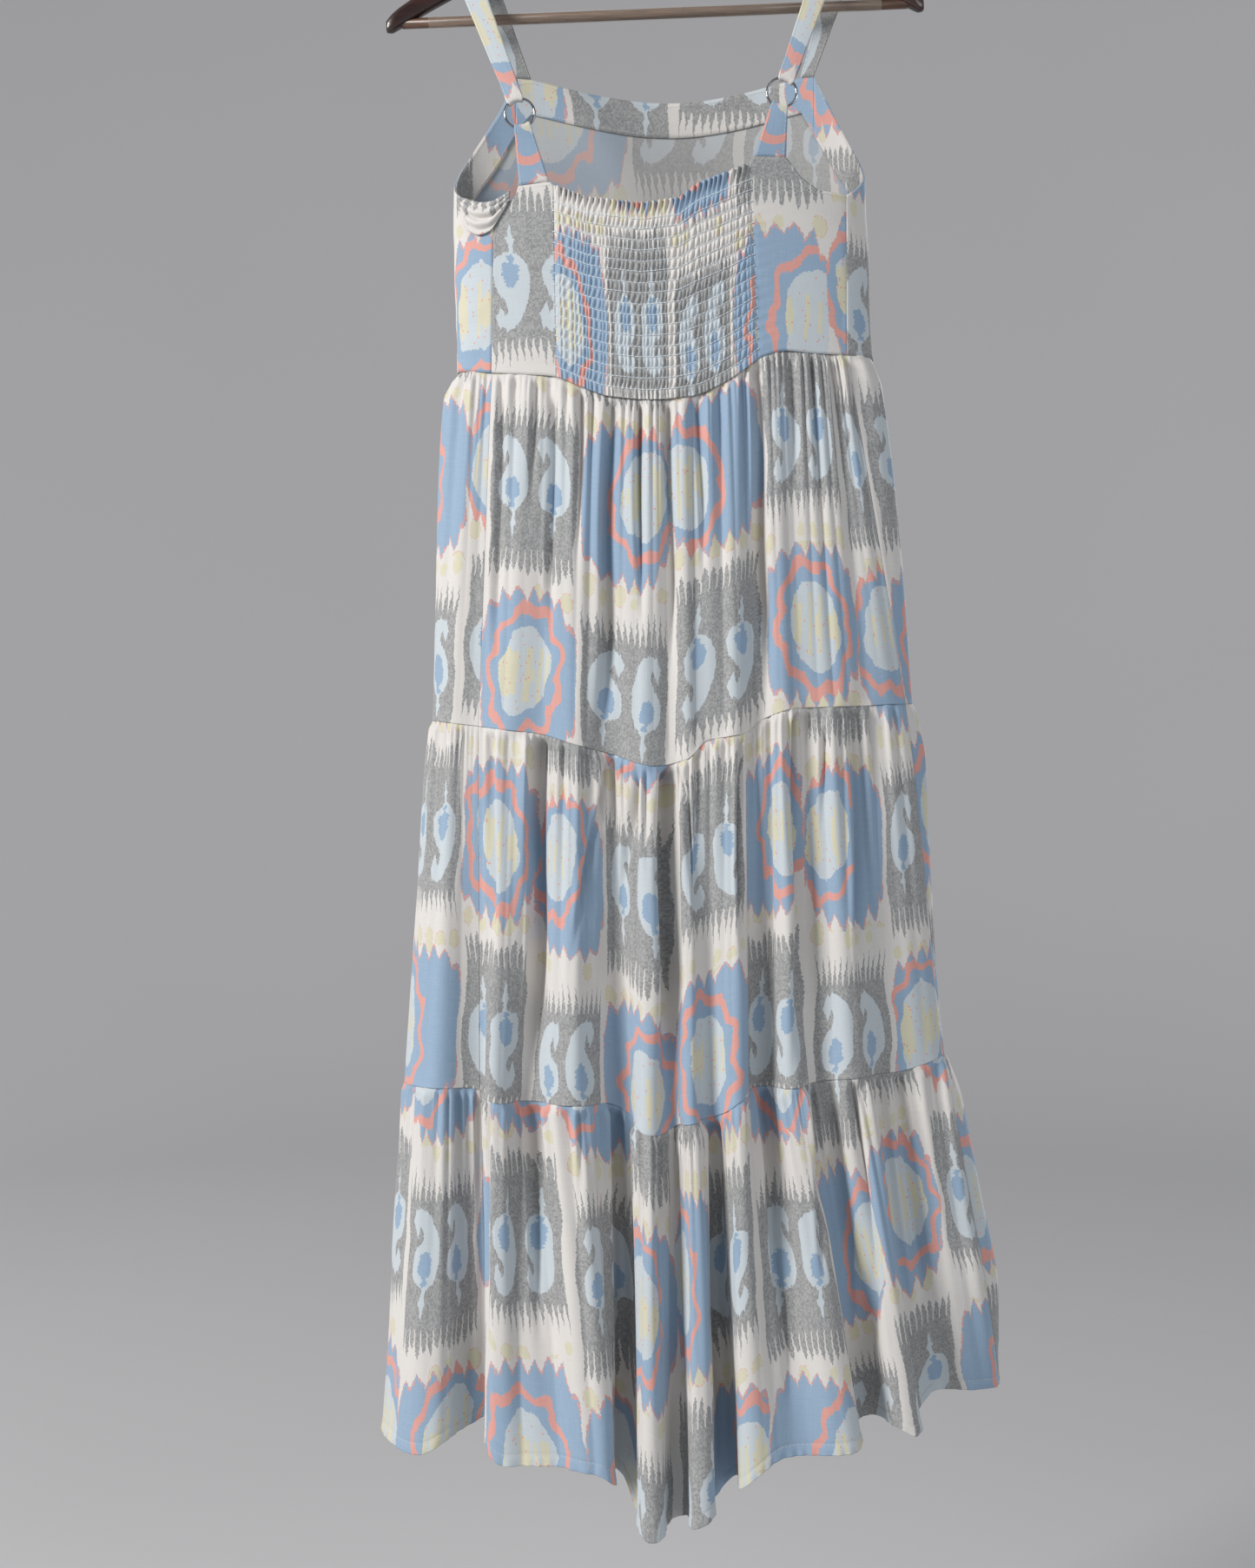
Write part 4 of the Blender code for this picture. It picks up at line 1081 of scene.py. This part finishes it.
CREAM = rgb(203, 197, 191)
OLIVE = rgb(195, 188, 151)
BLUE = rgb(88, 134, 171)
PALE_BLUE = rgb(174, 186, 193)
CORAL = rgb(208, 112, 90)
HEATHER_DARK = rgb(40, 41, 44)
HEATHER_LIGHT = rgb(142, 142, 140)

# A teardrop's two edges, from its arched top over its neck and its full body to its stem with a bead, as
# shares of the block's height and of the strip's width
DROP_LEFT = [
    (0, 0.38), (0.05, 0.38), (0.10, 0.24), (0.15, 0.20), (0.19, 0.34), (0.25, 0.40),
    (0.31, 0.36), (0.38, 0.22), (0.46, 0.14), (0.55, 0.13), (0.64, 0.20), (0.72, 0.46),
    (0.75, 0.46), (0.79, 0.42), (0.83, 0.46), (0.88, 0.47), (0.93, 0.50), (1, 0.50),
]
DROP_RIGHT = [
    (0, 0.38), (0.05, 0.39), (0.10, 0.60), (0.20, 0.78), (0.30, 0.86), (0.40, 0.88),
    (0.50, 0.88), (0.59, 0.82), (0.67, 0.68), (0.72, 0.54), (0.75, 0.54), (0.79, 0.58),
    (0.83, 0.54), (0.88, 0.53), (0.93, 0.50), (1, 0.50),
]
# Half the width of a tooth from its root to its tip, above a block and below it
TOOTH_UP = [(0, 1), (0.10, 0.78), (0.40, 0.58), (0.47, 0.34), (0.75, 0.24), (0.80, 0.12), (1, 0.08)]
TOOTH_DOWN = [(0, 1), (0.08, 0.86), (0.60, 0.78), (0.68, 0.60), (0.86, 0.50), (0.92, 0.22), (1, 0.16)]
FLAME_WIDTH = [
    (0, 0), (0.39, 0), (0.42, 0.22), (0.50, 0.40), (0.58, 0.42),
    (0.63, 0.10), (0.66, 0.20), (0.69, 0), (1, 0),
]


def print_on(board, u, v):
    """The print's colour at millimetres u and v of the cloth."""
    random, mix, vector, noise = board.random, board.mix, board.vector, board.noise
    warp, weft = (u / WARP).floor(), (v / WEFT).floor()
    side_step, drop_step = random(weft + 0.5) - 0.5, random(warp + 0.5) - 0.5
    place = vector(u, v)
    sway = noise(place, 0.016, 1.0) - 0.5
    heave = noise(vector(v, u, 7.0), 0.030, 1.0) - 0.5
    u_print = u + side_step * 0.9 + sway * 16
    v_print = v + drop_step * 2.0 + heave * 13
    column = (u_print / COLUMN).floor()
    x = u_print - (column + 0.5) * COLUMN
    dropped = v_print + (column / 2).part() * REPEAT
    row = (dropped / REPEAT).floor()
    y = dropped - row * REPEAT
    turned = ((column / 2).floor() / 2).part() * 2
    y = y + turned * (REPEAT - 2 * y)
    here = column * 7.3 + row * 3.7

    # Olive blobs in the cream, some with a thin coral edge
    blob = (x / DOT).floor()
    chance = random(blob + here)
    size = chance * 4.2 + 2.6
    blob_x = ((x / DOT).part() - 0.5) * DOT / size
    near = ((y / REPEAT + 0.5).part() - 0.5) * REPEAT - 7 + (chance - 0.5) * 12
    far = y - 181 - (chance - 0.5) * 12
    apart = (near / size * 0.7) ** 2
    apart = apart.sums("MINIMUM", (far / size * 0.7) ** 2) + blob_x**2
    some = (chance > 0.25) * 1
    colour = mix((apart < 1) * some, CREAM, OLIVE)
    edge = (apart < 1.08) * (apart > 0.86) * some * (random(weft * 1.1, warp * 1.9) > 0.55)
    colour = mix(edge * (chance > 0.55) * 0.7, colour, CORAL)

    # The rosette: blue with jagged ends, and a coral ring of scallops round a pale middle
    across, down = x / ROSETTE_HALF[0], (y - ROSETTE_AT) / ROSETTE_HALF[1]
    shift = random(here) * 0.5
    jag = (x / SAW + shift).floor()
    saw = abs((x / SAW + shift).part() - 0.5) * (random(jag + here) * 0.2 + 0.24)
    toothed = abs(down) + saw
    reach = abs(across) ** 3.2 + toothed**3.2
    down = down + (random(here + 0.2) - 0.5) * 0.35
    lean = across + down * 0.15 + (random(here + 0.4) - 0.5) * 1.5
    angle = (down + 0.04).sums("ARCTAN2", lean)
    scallop = (angle * 9 + random(here + 0.6) * 3).sums("SINE") * 0.045
    uneven = (noise(place, 0.05, 1.0) - 0.5) * 0.22
    ring_reach = ((lean * 1.05) ** 2 + (down + 0.04) ** 2) ** 0.5 + uneven
    rosette = reach < 1
    colour = mix(rosette, colour, BLUE)
    rim = rosette * (reach > 0.88) * (random(weft, warp) > 0.30)
    ring = abs(ring_reach + scallop - 0.74) < 0.06
    colour = mix(rosette * ring | rim * 0.85, colour, CORAL)
    middle = rosette * (ring_reach < 0.52)
    yarn = (u_print / 3.4).floor() + here
    streak = (random(yarn) > 0.45) * (abs(down + 0.02) < random(yarn + 0.4) * 0.3 + 0.08)
    colour = mix(middle, colour, mix(streak, PALE_BLUE, OLIVE))
    fleck = middle * (random(weft * 1.7, warp * 1.3) > 0.985)
    colour = mix(fleck, colour, CORAL)

    # The grey block, with teeth along its top and foot
    tooth = (x / COMB).floor()
    off_tooth = abs((x / COMB).part() - 0.5) * COMB
    length = random(tooth + here + 0.3) * 9 + 17
    above, below = BLOCK_TOP - y, y - BLOCK_FOOT
    up = board.line(above / length, TOOTH_UP) * (COMB / 2)
    down_width = board.line(below / length, TOOTH_DOWN) * (COMB / 2)
    beyond = above | below
    teeth = (off_tooth < up) * (above > 0) | (off_tooth < down_width) * (below > 0)
    block = (beyond < 0) | teeth * (beyond < length)
    block = block * (abs(x) < BLOCK_HALF)
    grain = random(warp, weft)
    slub = noise(vector(u * 0.25, v * 1.6), 0.6, 2.0)
    heather = mix(grain * 0.75 + slub * 0.25, HEATHER_DARK, HEATHER_LIGHT)
    colour = mix(block, colour, heather)

    # Two pale teardrops on it, with a curled tip, a stem and a blue flame
    inside = (y - BLOCK_TOP) / (BLOCK_FOOT - BLOCK_TOP)
    mirrored = (random(here + 0.8) > 0.5) * 2 - 1
    drop_x = ((x / DROP_STRIP).part() - 0.5) * mirrored
    drop = (drop_x > board.line(inside, DROP_LEFT) - 0.5) * (drop_x < board.line(inside, DROP_RIGHT) - 0.5)
    hook = abs(drop_x + 0.26) / 0.11 + abs(inside - 0.18) / 0.11 < 1
    in_block = (beyond < 0) * (abs(x) < DROP_STRIP)
    colour = mix((drop | hook) * in_block, colour, PALE_BLUE)
    ragged = (random(weft * 1.3) - 0.5) * 0.05
    flame = abs(drop_x + 0.02 + ragged) < board.line(inside, FLAME_WIDTH) * 0.42
    colour = mix(flame * in_block, colour, BLUE)
    return colour


def printed_cotton(name, wrong_side=False):
    board = Board(name, Roughness=0.86, Sheen_Weight=0.12, Sheen_Roughness=0.5)
    board.shader.inputs["Specular IOR Level"].default_value = 0.25
    place = board.node("ShaderNodeUVMap", {"uv_map": "cloth"})
    metres = board.node("ShaderNodeSeparateXYZ", {}, {0: place})
    u, v = metres * 1000, metres.other(1) * 1000
    colour = print_on(board, u, v)
    # Yarns of uneven thickness both ways
    weft_yarn = board.noise(board.vector(u * 0.05, v * 1.3), 1.0, 3.0, 0.6)
    warp_yarn = board.noise(board.vector(u * 1.5, v * 0.05), 1.0, 3.0, 0.6)
    yarns = weft_yarn * 0.5 + warp_yarn * 0.5
    shade = (yarns - 0.5) * 0.55 + 0.5
    lighter = board.mix(0.35, colour, (1.0, 1.0, 1.0))
    darker = board.mix(0.30, colour, (0.12, 0.12, 0.13))
    colour = board.mix(shade, darker, lighter)
    if wrong_side:
        colour = board.mix(0.50, colour, (0.36, 0.355, 0.35))
    grain = board.random((u / 0.5).floor(), (v / 0.5).floor())
    height = yarns + grain * 0.25
    return board.feed(Base_Color=colour, Normal=board.bump(height, 0.0003, 0.5))


def mahogany():
    """Dark stained wood under a gloss lacquer, with a fine grain along the arms."""
    board = Board("dark_mahogany", Coat_Weight=0.5, Coat_Roughness=0.08)
    grain = board.noise(board.place((14, 90, 110)), 2.0, 5.0, 0.6)
    streak = board.noise(board.place((5, 300, 380)), 2.0, 3.0)
    stops = [(0.3, rgb(22, 9, 7)), (0.55, rgb(44, 19, 14)), (0.8, rgb(66, 30, 22))]
    colour = board.ramp(grain * 0.7 + streak * 0.3, stops)
    rough = grain * 0.12 + 0.22
    return board.feed(Base_Color=colour, Roughness=rough, Normal=board.bump(streak, 0.0002, 0.15))


def dowel():
    """Walnut-brown dowel with a long straight grain."""
    board = Board("brown_dowel", Coat_Weight=0.2, Coat_Roughness=0.2)
    grain = board.noise(board.place((9, 420, 420)), 2.0, 5.0, 0.65)
    colour = board.ramp(grain, [(0.3, rgb(54, 34, 24)), (0.52, rgb(92, 63, 45)), (0.75, rgb(130, 96, 72))])
    rough = grain * 0.2 + 0.32
    return board.feed(Base_Color=colour, Roughness=rough, Normal=board.bump(grain, 0.0002, 0.3))


def clear_grip():
    """A thin clear sleeve, slightly yellowed and scuffed."""
    board = Board("clear_sleeve", Base_Color=(0.62, 0.55, 0.47, 1), IOR=1.45)
    scuffs = board.noise(board.place((30, 300, 300)), 2.0, 3.0)
    return board.feed(Roughness=scuffs * 0.25 + 0.08, Alpha=scuffs * 0.12 + 0.04)


def plated(name):
    """Bright plating, its colour darkened to paint in the dark reflections that polished metal shows, with
    faint smears.
    """
    board = Board(name, Metallic=1.0)
    smears = board.noise(board.place(), 160.0, 3.0)
    # Both tones are painted dark reflections, far darker than the plating's own bright colour; the smears
    # vary between them at random
    colour = board.mix(smears, (0.20, 0.20, 0.21), (0.38, 0.38, 0.39))
    return board.feed(Base_Color=colour, Roughness=smears * 0.10 + 0.08)


def thread(name, colour):
    board = Board(name, Roughness=0.7, Sheen_Weight=0.1)
    ply = board.noise(board.place(), 900.0, 1.0)
    darker = tuple(c * 0.8 for c in colour)
    return board.feed(Base_Color=board.mix(ply, darker, colour), Normal=board.bump(ply, 0.0002, 0.4))


def pale_floor():
    board = Board("pale_floor", Roughness=0.9)
    tone = board.noise(board.place(), 0.7, 2.0)
    return board.feed(Base_Color=board.mix(tone, (0.51, 0.50, 0.505), (0.54, 0.53, 0.535)))


# Stitches


def stitch_tree(finish):
    """Geometry nodes that lay a short rounded stitch at every pitch along a curve."""
    tree = bpy.data.node_groups.new("stitches_along_seam", "GeometryNodeTree")
    tree.interface.new_socket("Geometry", in_out="INPUT", socket_type="NodeSocketGeometry")
    for name in ("Pitch", "Length", "Thickness"):
        tree.interface.new_socket(name, in_out="INPUT", socket_type="NodeSocketFloat")
    tree.interface.new_socket("Geometry", in_out="OUTPUT", socket_type="NodeSocketGeometry")
    nodes = Nodes(tree)
    given = nodes.node("NodeGroupInput")
    pitch, length, thickness = (given.other(i) for i in (1, 2, 3))
    spaced = nodes.node("GeometryNodeResampleCurve", {"mode": "LENGTH"}, {"Curve": given, "Length": pitch})
    line = nodes.node("GeometryNodeCurvePrimitiveLine", {}, {"Start": (0, 0, -0.5), "End": (0, 0, 0.5)})
    cut = nodes.node("GeometryNodeResampleCurve", {}, {"Curve": line, "Count": 5})
    share = nodes.node("GeometryNodeSplineParameter")
    radius = (share * math.pi).sums("SINE").sums("MULTIPLY_ADD", 0.75, 0.25) * thickness
    longer = nodes.vector(1.0, 1.0, length)
    stretched = nodes.node("GeometryNodeTransform", {}, {"Geometry": cut, "Scale": longer})
    sized = nodes.node("GeometryNodeSetCurveRadius", {}, {"Curve": stretched, "Radius": radius})
    round_profile = nodes.node("GeometryNodeCurvePrimitiveCircle", {}, {"Resolution": 6, "Radius": 0.5})
    skin = {"Curve": sized, "Profile Curve": round_profile, "Scale": radius, "Fill Caps": True}
    body = nodes.node("GeometryNodeCurveToMesh", {}, skin)
    along = nodes.node("GeometryNodeInputTangent")
    facing = nodes.node("FunctionNodeAlignRotationToVector", {"axis": "Z"}, {"Vector": along})
    stitch = {"Points": spaced, "Instance": body, "Rotation": facing}
    placed = nodes.node("GeometryNodeInstanceOnPoints", {}, stitch)
    real = nodes.node("GeometryNodeRealizeInstances", {}, {"Geometry": placed})
    painted = nodes.node("GeometryNodeSetMaterial", {}, {"Geometry": real, "Material": finish})
    smooth = nodes.node("GeometryNodeSetShadeSmooth", {}, {"Geometry": painted})
    result = tree.nodes.new("NodeGroupOutput")
    tree.links.new(smooth.socket, result.inputs["Geometry"])
    return tree


def sew(name, tree, seams, pitch, length, thickness):
    """One mesh of all the stitches along seams, which are lists of points that lie on the cloth."""
    curve = bpy.data.curves.new(name, "CURVE")
    curve.dimensions = "3D"
    for seam in seams:
        spline = curve.splines.new("POLY")
        spline.points.add(len(seam) - 1)
        spline.points.foreach_set("co", np.concatenate([seam, np.ones((len(seam), 1))], 1).ravel())
    guide = linked(name + "_guide", curve)
    modifier = guide.modifiers.new("stitches", "NODES")
    modifier.node_group = tree
    sizes = {"Pitch": pitch, "Length": length, "Thickness": thickness}
    for item in tree.interface.items_tree:
        if item.name in sizes and item.in_out == "INPUT":
            modifier[item.identifier] = sizes[item.name]
    bpy.context.view_layer.update()
    graph = bpy.context.evaluated_depsgraph_get()
    mesh = bpy.data.meshes.new_from_object(guide.evaluated_get(graph), depsgraph=graph)
    bpy.data.objects.remove(guide)
    return linked(name, mesh)


# Hanger and rings


def closed_mesh(name, points, faces):
    mesh = bpy.data.meshes.new(name)
    mesh.from_pydata([tuple(map(float, p)) for p in points], [], faces)
    mesh.polygons.foreach_set("use_smooth", np.ones(len(faces), bool))
    work = bmesh.new()
    work.from_mesh(mesh)
    bmesh.ops.remove_doubles(work, verts=work.verts, dist=1e-7)
    bmesh.ops.recalc_face_normals(work, faces=work.faces)
    work.to_mesh(mesh)
    work.free()
    return linked(name, mesh)


def swept(name, rings, ends=True):
    """A skin over rings of points, closed at both ends by a point in their middle."""
    rings = np.array(rings)
    count, sides = rings.shape[:2]
    points = list(rings.reshape(-1, 3))
    around = [(s, (s + 1) % sides) for s in range(sides)]
    faces = []
    for r in range(count - 1):
        row = r * sides
        faces += [(row + a, row + b, row + b + sides, row + a + sides) for a, b in around]
    if ends:
        points += [rings[0].mean(0), rings[-1].mean(0)]
        for row, tip in ((0, len(points) - 2), ((count - 1) * sides, len(points) - 1)):
            faces += [(row + a, row + b, tip) for a, b in around]
    return closed_mesh(name, points, faces)


# How the arms' ends are rounded: from where on, by how much, and how square their sections are
ROUND_FROM = 0.212
ROUND_SHARE = 0.42
SQUARE_Y = 0.72
SQUARE_Z = 0.62


def make_arms():
    """The arms, from tip to tip, with every section a rounded upright shape."""
    knots, tops, heights = np.array([*ARM, ARM_TIP]).T
    xs = np.concatenate([np.linspace(0, 0.210, 44), np.linspace(0.2115, knots[-1], 9)])
    xs = np.concatenate([-xs[:0:-1], xs])
    y, z = np.cos(circle(32)), np.sin(circle(32))
    round_y, round_z = np.sign(y) * np.abs(y) ** SQUARE_Y, np.sign(z) * np.abs(z) ** SQUARE_Z
    rings = []
    for x in xs:
        top, height = through(abs(x), knots, tops), through(abs(x), knots, heights)
        end = np.clip((abs(x) - ROUND_FROM) / (knots[-1] - ROUND_FROM), 0, 1)
        half = ARM_THICKNESS / 2 * (1 - ROUND_SHARE * end**2.4)
        ring = zip(half * round_y, top - height / 2 + height / 2 * round_z)
        rings.append([tilted((x, a, b)) for a, b in ring])
    return swept("wood_hanger_arms", rings)


def bar_ring(x, radius):
    """Points round the bar's line, at x along it."""
    return [tilted((x, radius * math.cos(a), BAR_Z + radius * math.sin(a))) for a in circle(32)]


def make_bar():
    """The dowel, with its ends slightly rounded."""
    sizes = ((-1, 0.9), (-0.9985, 1), (0.9985, 1), (1, 0.9))
    rings = [bar_ring(share * BAR_HALF_LENGTH, BAR_RADIUS * size) for share, size in sizes]
    return swept("wood_hanger_bar", rings)


def make_sleeve():
    """An open tube round the bar."""
    inside, half = BAR_RADIUS + GAP, GRIP_HALF_LENGTH
    corners = ((-half, inside), (-half, GRIP_RADIUS), (half, GRIP_RADIUS), (half, inside), (-half, inside))
    return swept("clear_bar_grip", [bar_ring(x, radius) for x, radius in corners], ends=False)


# Where the hook's round part starts and ends, and how far below the knee its bend begins
HOOK_START = math.radians(-50)
HOOK_END = math.radians(192)
STEM_BEND = 0.011


def make_hook():
    """A wire: the stem in the neck, a bend to the right, then over the rail to its tip on the left."""
    reach = HOOK_INSIDE_RADIUS + HOOK_WIRE / 2
    angles = np.linspace(HOOK_START, HOOK_END, 60)
    arc = [(reach * math.cos(a), reach * math.sin(a) - HOOK_INSIDE_RADIUS) for a in angles]
    foot = arc[0]
    knee = (0, foot[1] + foot[0] / math.tan(HOOK_START))
    stem = (0, knee[1] - STEM_BEND)
    line = [(0, NECK_TOP - STEM_DEPTH)]
    for t in np.linspace(0, 1, 16)[:-1]:
        near, mid, far = (1 - t) ** 2, 2 * t * (1 - t), t * t
        line.append(tuple(near * a + mid * b + far * c for a, b, c in zip(stem, knee, foot)))
    line = np.array(line + arc)
    way = np.gradient(line, axis=0)
    way /= np.linalg.norm(way, axis=1, keepdims=True)
    wires = [(place, ahead, HOOK_WIRE / 2) for place, ahead in zip(line, way)]
    for step in np.linspace(0, math.pi / 2, 6)[1:-1]:
        tip = line[-1] + way[-1] * HOOK_WIRE / 2 * math.sin(step)
        wires.append((tip, way[-1], HOOK_WIRE / 2 * math.cos(step)))
    rings = []
    for (x, z), (dx, dz), wire in wires:
        out = [(wire * math.cos(a), wire * math.sin(a)) for a in circle(16)]
        rings.append([tilted((x - dz * a, b, z + dx * a)) for a, b in out])
    return swept("metal_hanger_hook", rings)


def make_ring(hang):
    wire = [(RING_RADIUS + RING_WIRE * math.cos(b), RING_WIRE * math.sin(b)) for b in circle(16)]
    x, z = hang.ring_x + SWAY, hang.ring_z
    rings = []
    for a in circle(96):
        rings.append([(x + r * math.cos(a), RING_Y + y, z + r * math.sin(a)) for r, y in wire])
    return swept(f"metal_ring_{hang.side}", [*rings, rings[0]], ends=False)


# Camera, light and floor

CAMERA = (-0.023 + SWAY, -1.5, -0.802)
CAMERA_LENS = 40.97
FLOOR_Z = -1.75
FLOOR_REACH = 3.2
FLOOR_BEND = 2.2
FLOOR_RISE = 6.0


def make_camera():
    data = bpy.data.cameras.new("camera")
    data.lens = CAMERA_LENS
    camera = linked("camera", data)
    camera.location = CAMERA
    camera.rotation_euler = (math.pi / 2, 0, 0)
    bpy.context.scene.camera = camera


def make_floor():
    """A pale floor which curves up far behind the object on all sides."""
    profile = [(0, 0), (FLOOR_REACH, 0)]
    for a in np.linspace(0, math.pi / 2, 14)[1:]:
        profile.append((FLOOR_REACH + FLOOR_BEND * math.sin(a), FLOOR_BEND * (1 - math.cos(a))))
    profile.append((FLOOR_REACH + FLOOR_BEND, FLOOR_RISE))
    rings = [[(r * math.cos(a), r * math.sin(a), z + FLOOR_Z) for a in circle(64)] for r, z in profile]
    floor = swept("floor", rings, ends=False)
    floor.visible_shadow = False
    floor.visible_diffuse = False
    floor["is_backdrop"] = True
    return floor


def make_lights():
    world = bpy.data.worlds.new("soft_light")
    world.use_nodes = True
    sky = world.node_tree.nodes["Background"].inputs
    sky["Color"].default_value = (0.93, 0.96, 1.0, 1)
    sky["Strength"].default_value = 0.44
    bpy.context.scene.world = world
    bpy.context.scene.view_settings.view_transform = "Standard"
    for name, place, aim, size, power, colour in (
        ("window", (-3.7, -2.2, 0.9), (0, 0, -0.75), 1.4, 225, (1.0, 0.985, 0.96)),
        ("fill", (2.6, -3.0, 0.2), (0, 0, -0.8), 2.0, 32, (0.94, 0.97, 1.0)),
    ):
        data = bpy.data.lights.new(name, "AREA")
        data.shape = "SQUARE"
        data.size = size
        data.energy = power
        data.color = colour
        put_lamp(name, data, place, aim)
    # The far side has a lamp of its own, whose narrow cone leaves the floor behind the dress as it is
    spot = bpy.data.lights.new("far_side", "SPOT")
    spot.energy = 320
    spot.shadow_soft_size = 0.5
    spot.spot_size = 0.62
    spot.spot_blend = 0.8
    put_lamp("far_side", spot, (1.9, 3.0, 0.5), (0, 0, -0.75))


def put_lamp(name, data, place, aim):
    lamp = linked(name, data)
    lamp.location = place
    lamp.rotation_euler = (Vector(aim) - Vector(place)).to_track_quat("-Z", "Y").to_euler()


# How each piece of cloth is held, and what it hangs from
HELD = {
    "back_smock_panel": ("gathered", ["cloth_side_back_left", "cloth_side_back_right"]),
    "front_bodice": ("hung", ["cloth_strap_left", "cloth_strap_right"]),
    "front_neck_facing": ("hung", ["cloth_front_bodice"]),
    "tier1_back": ("gathered", ["cloth_back_smock_panel", "cloth_side_back_left", "cloth_side_back_right"]),
    "tier1_front": ("gathered", ["cloth_front_bodice"]),
}
for side in ("left", "right"):
    HELD[f"side_back_{side}"] = "hung", [f"cloth_ring_tab_{side}"]
    HELD[f"armhole_facing_{side}"] = "hung", ["cloth_front_bodice"]
    HELD[f"strap_{side}"] = "hung", ["wood_hanger_arms"]
    HELD[f"ring_tab_{side}"] = "hung", [f"metal_ring_{side}"]
for face in ("back", "front"):
    HELD[f"tier2_{face}"] = "gathered", [f"cloth_tier1_{face}"]
    HELD[f"tier3_{face}"] = "gathered", [f"cloth_tier2_{face}"]

# Pitch, length and thickness of the stitches, and of the threads that show over the elastic
STITCHES = (0.0034, 0.0024, 0.00034)
ELASTIC_THREADS = (0.0034, 0.0034, 0.0008)


def cloth_pieces(lines):
    """Every piece of cloth with its two sides. The facings show their right side inwards."""
    right_side = printed_cotton("printed_cotton")
    wrong_side = printed_cotton("printed_cotton_wrong_side", wrong_side=True)
    whole = make_tiers(lines) + make_bodice(lines) + [make_smocked_back(lines)] + make_front(lines)
    for thing in whole + make_straps(lines):
        sides = (right_side, wrong_side) if thing in whole else (right_side, right_side)
        for finish in reversed(sides) if "facing" in thing.name else sides:
            thing.data.materials.append(finish)
        yield thing, thing.name.removeprefix("cloth_")


def hard_pieces():
    # Plating for the hook and the rings, its colour darkened to paint in dark reflections
    painted_dark_plating = plated("bright_plating")
    for thing, node, finish in (
        (make_arms(), "hanger_arms", mahogany()),
        (make_bar(), "hanger_bar", dowel()),
        (make_sleeve(), "bar_grip", clear_grip()),
        (make_hook(), "hanger_hook", painted_dark_plating),
        *[(make_ring(hang), f"ring_{hang.side}", painted_dark_plating) for hang in HANGS],
    ):
        thing.data.materials.append(finish)
        yield thing, node


def main():
    make_camera()
    make_lights()
    make_floor().data.materials.append(pale_floor())
    lines = defaultdict(list)
    pieces = [*cloth_pieces(lines), *hard_pieces()]
    slots = {row["node"]: row["material_slot"] for row in frame["record"]["subparts"]}
    pale = stitch_tree(thread("pale_blue_thread", rgb(222, 230, 236)))
    cream = stitch_tree(thread("cream_thread", rgb(214, 208, 202)))
    for thing, node in pieces:
        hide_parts(node)
        slots[node]
        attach(thing, "root")
        stitches = []
        if lines[node]:
            tree, sizes = (pale, ELASTIC_THREADS) if node == "back_smock_panel" else (cream, STITCHES)
            stitches = [sew(f"stitches_{node}", tree, lines[node], *sizes)]
            stitches[0]
            slots[node]
            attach(stitches[0], "root")
        if node in HELD:
            width, length, area = CUTS[thing.name]
            held, holders = HELD[node]
            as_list(holders)


cad_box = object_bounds()
main()
[[list(corner) for corner in box] for box in (cad_box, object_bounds())]
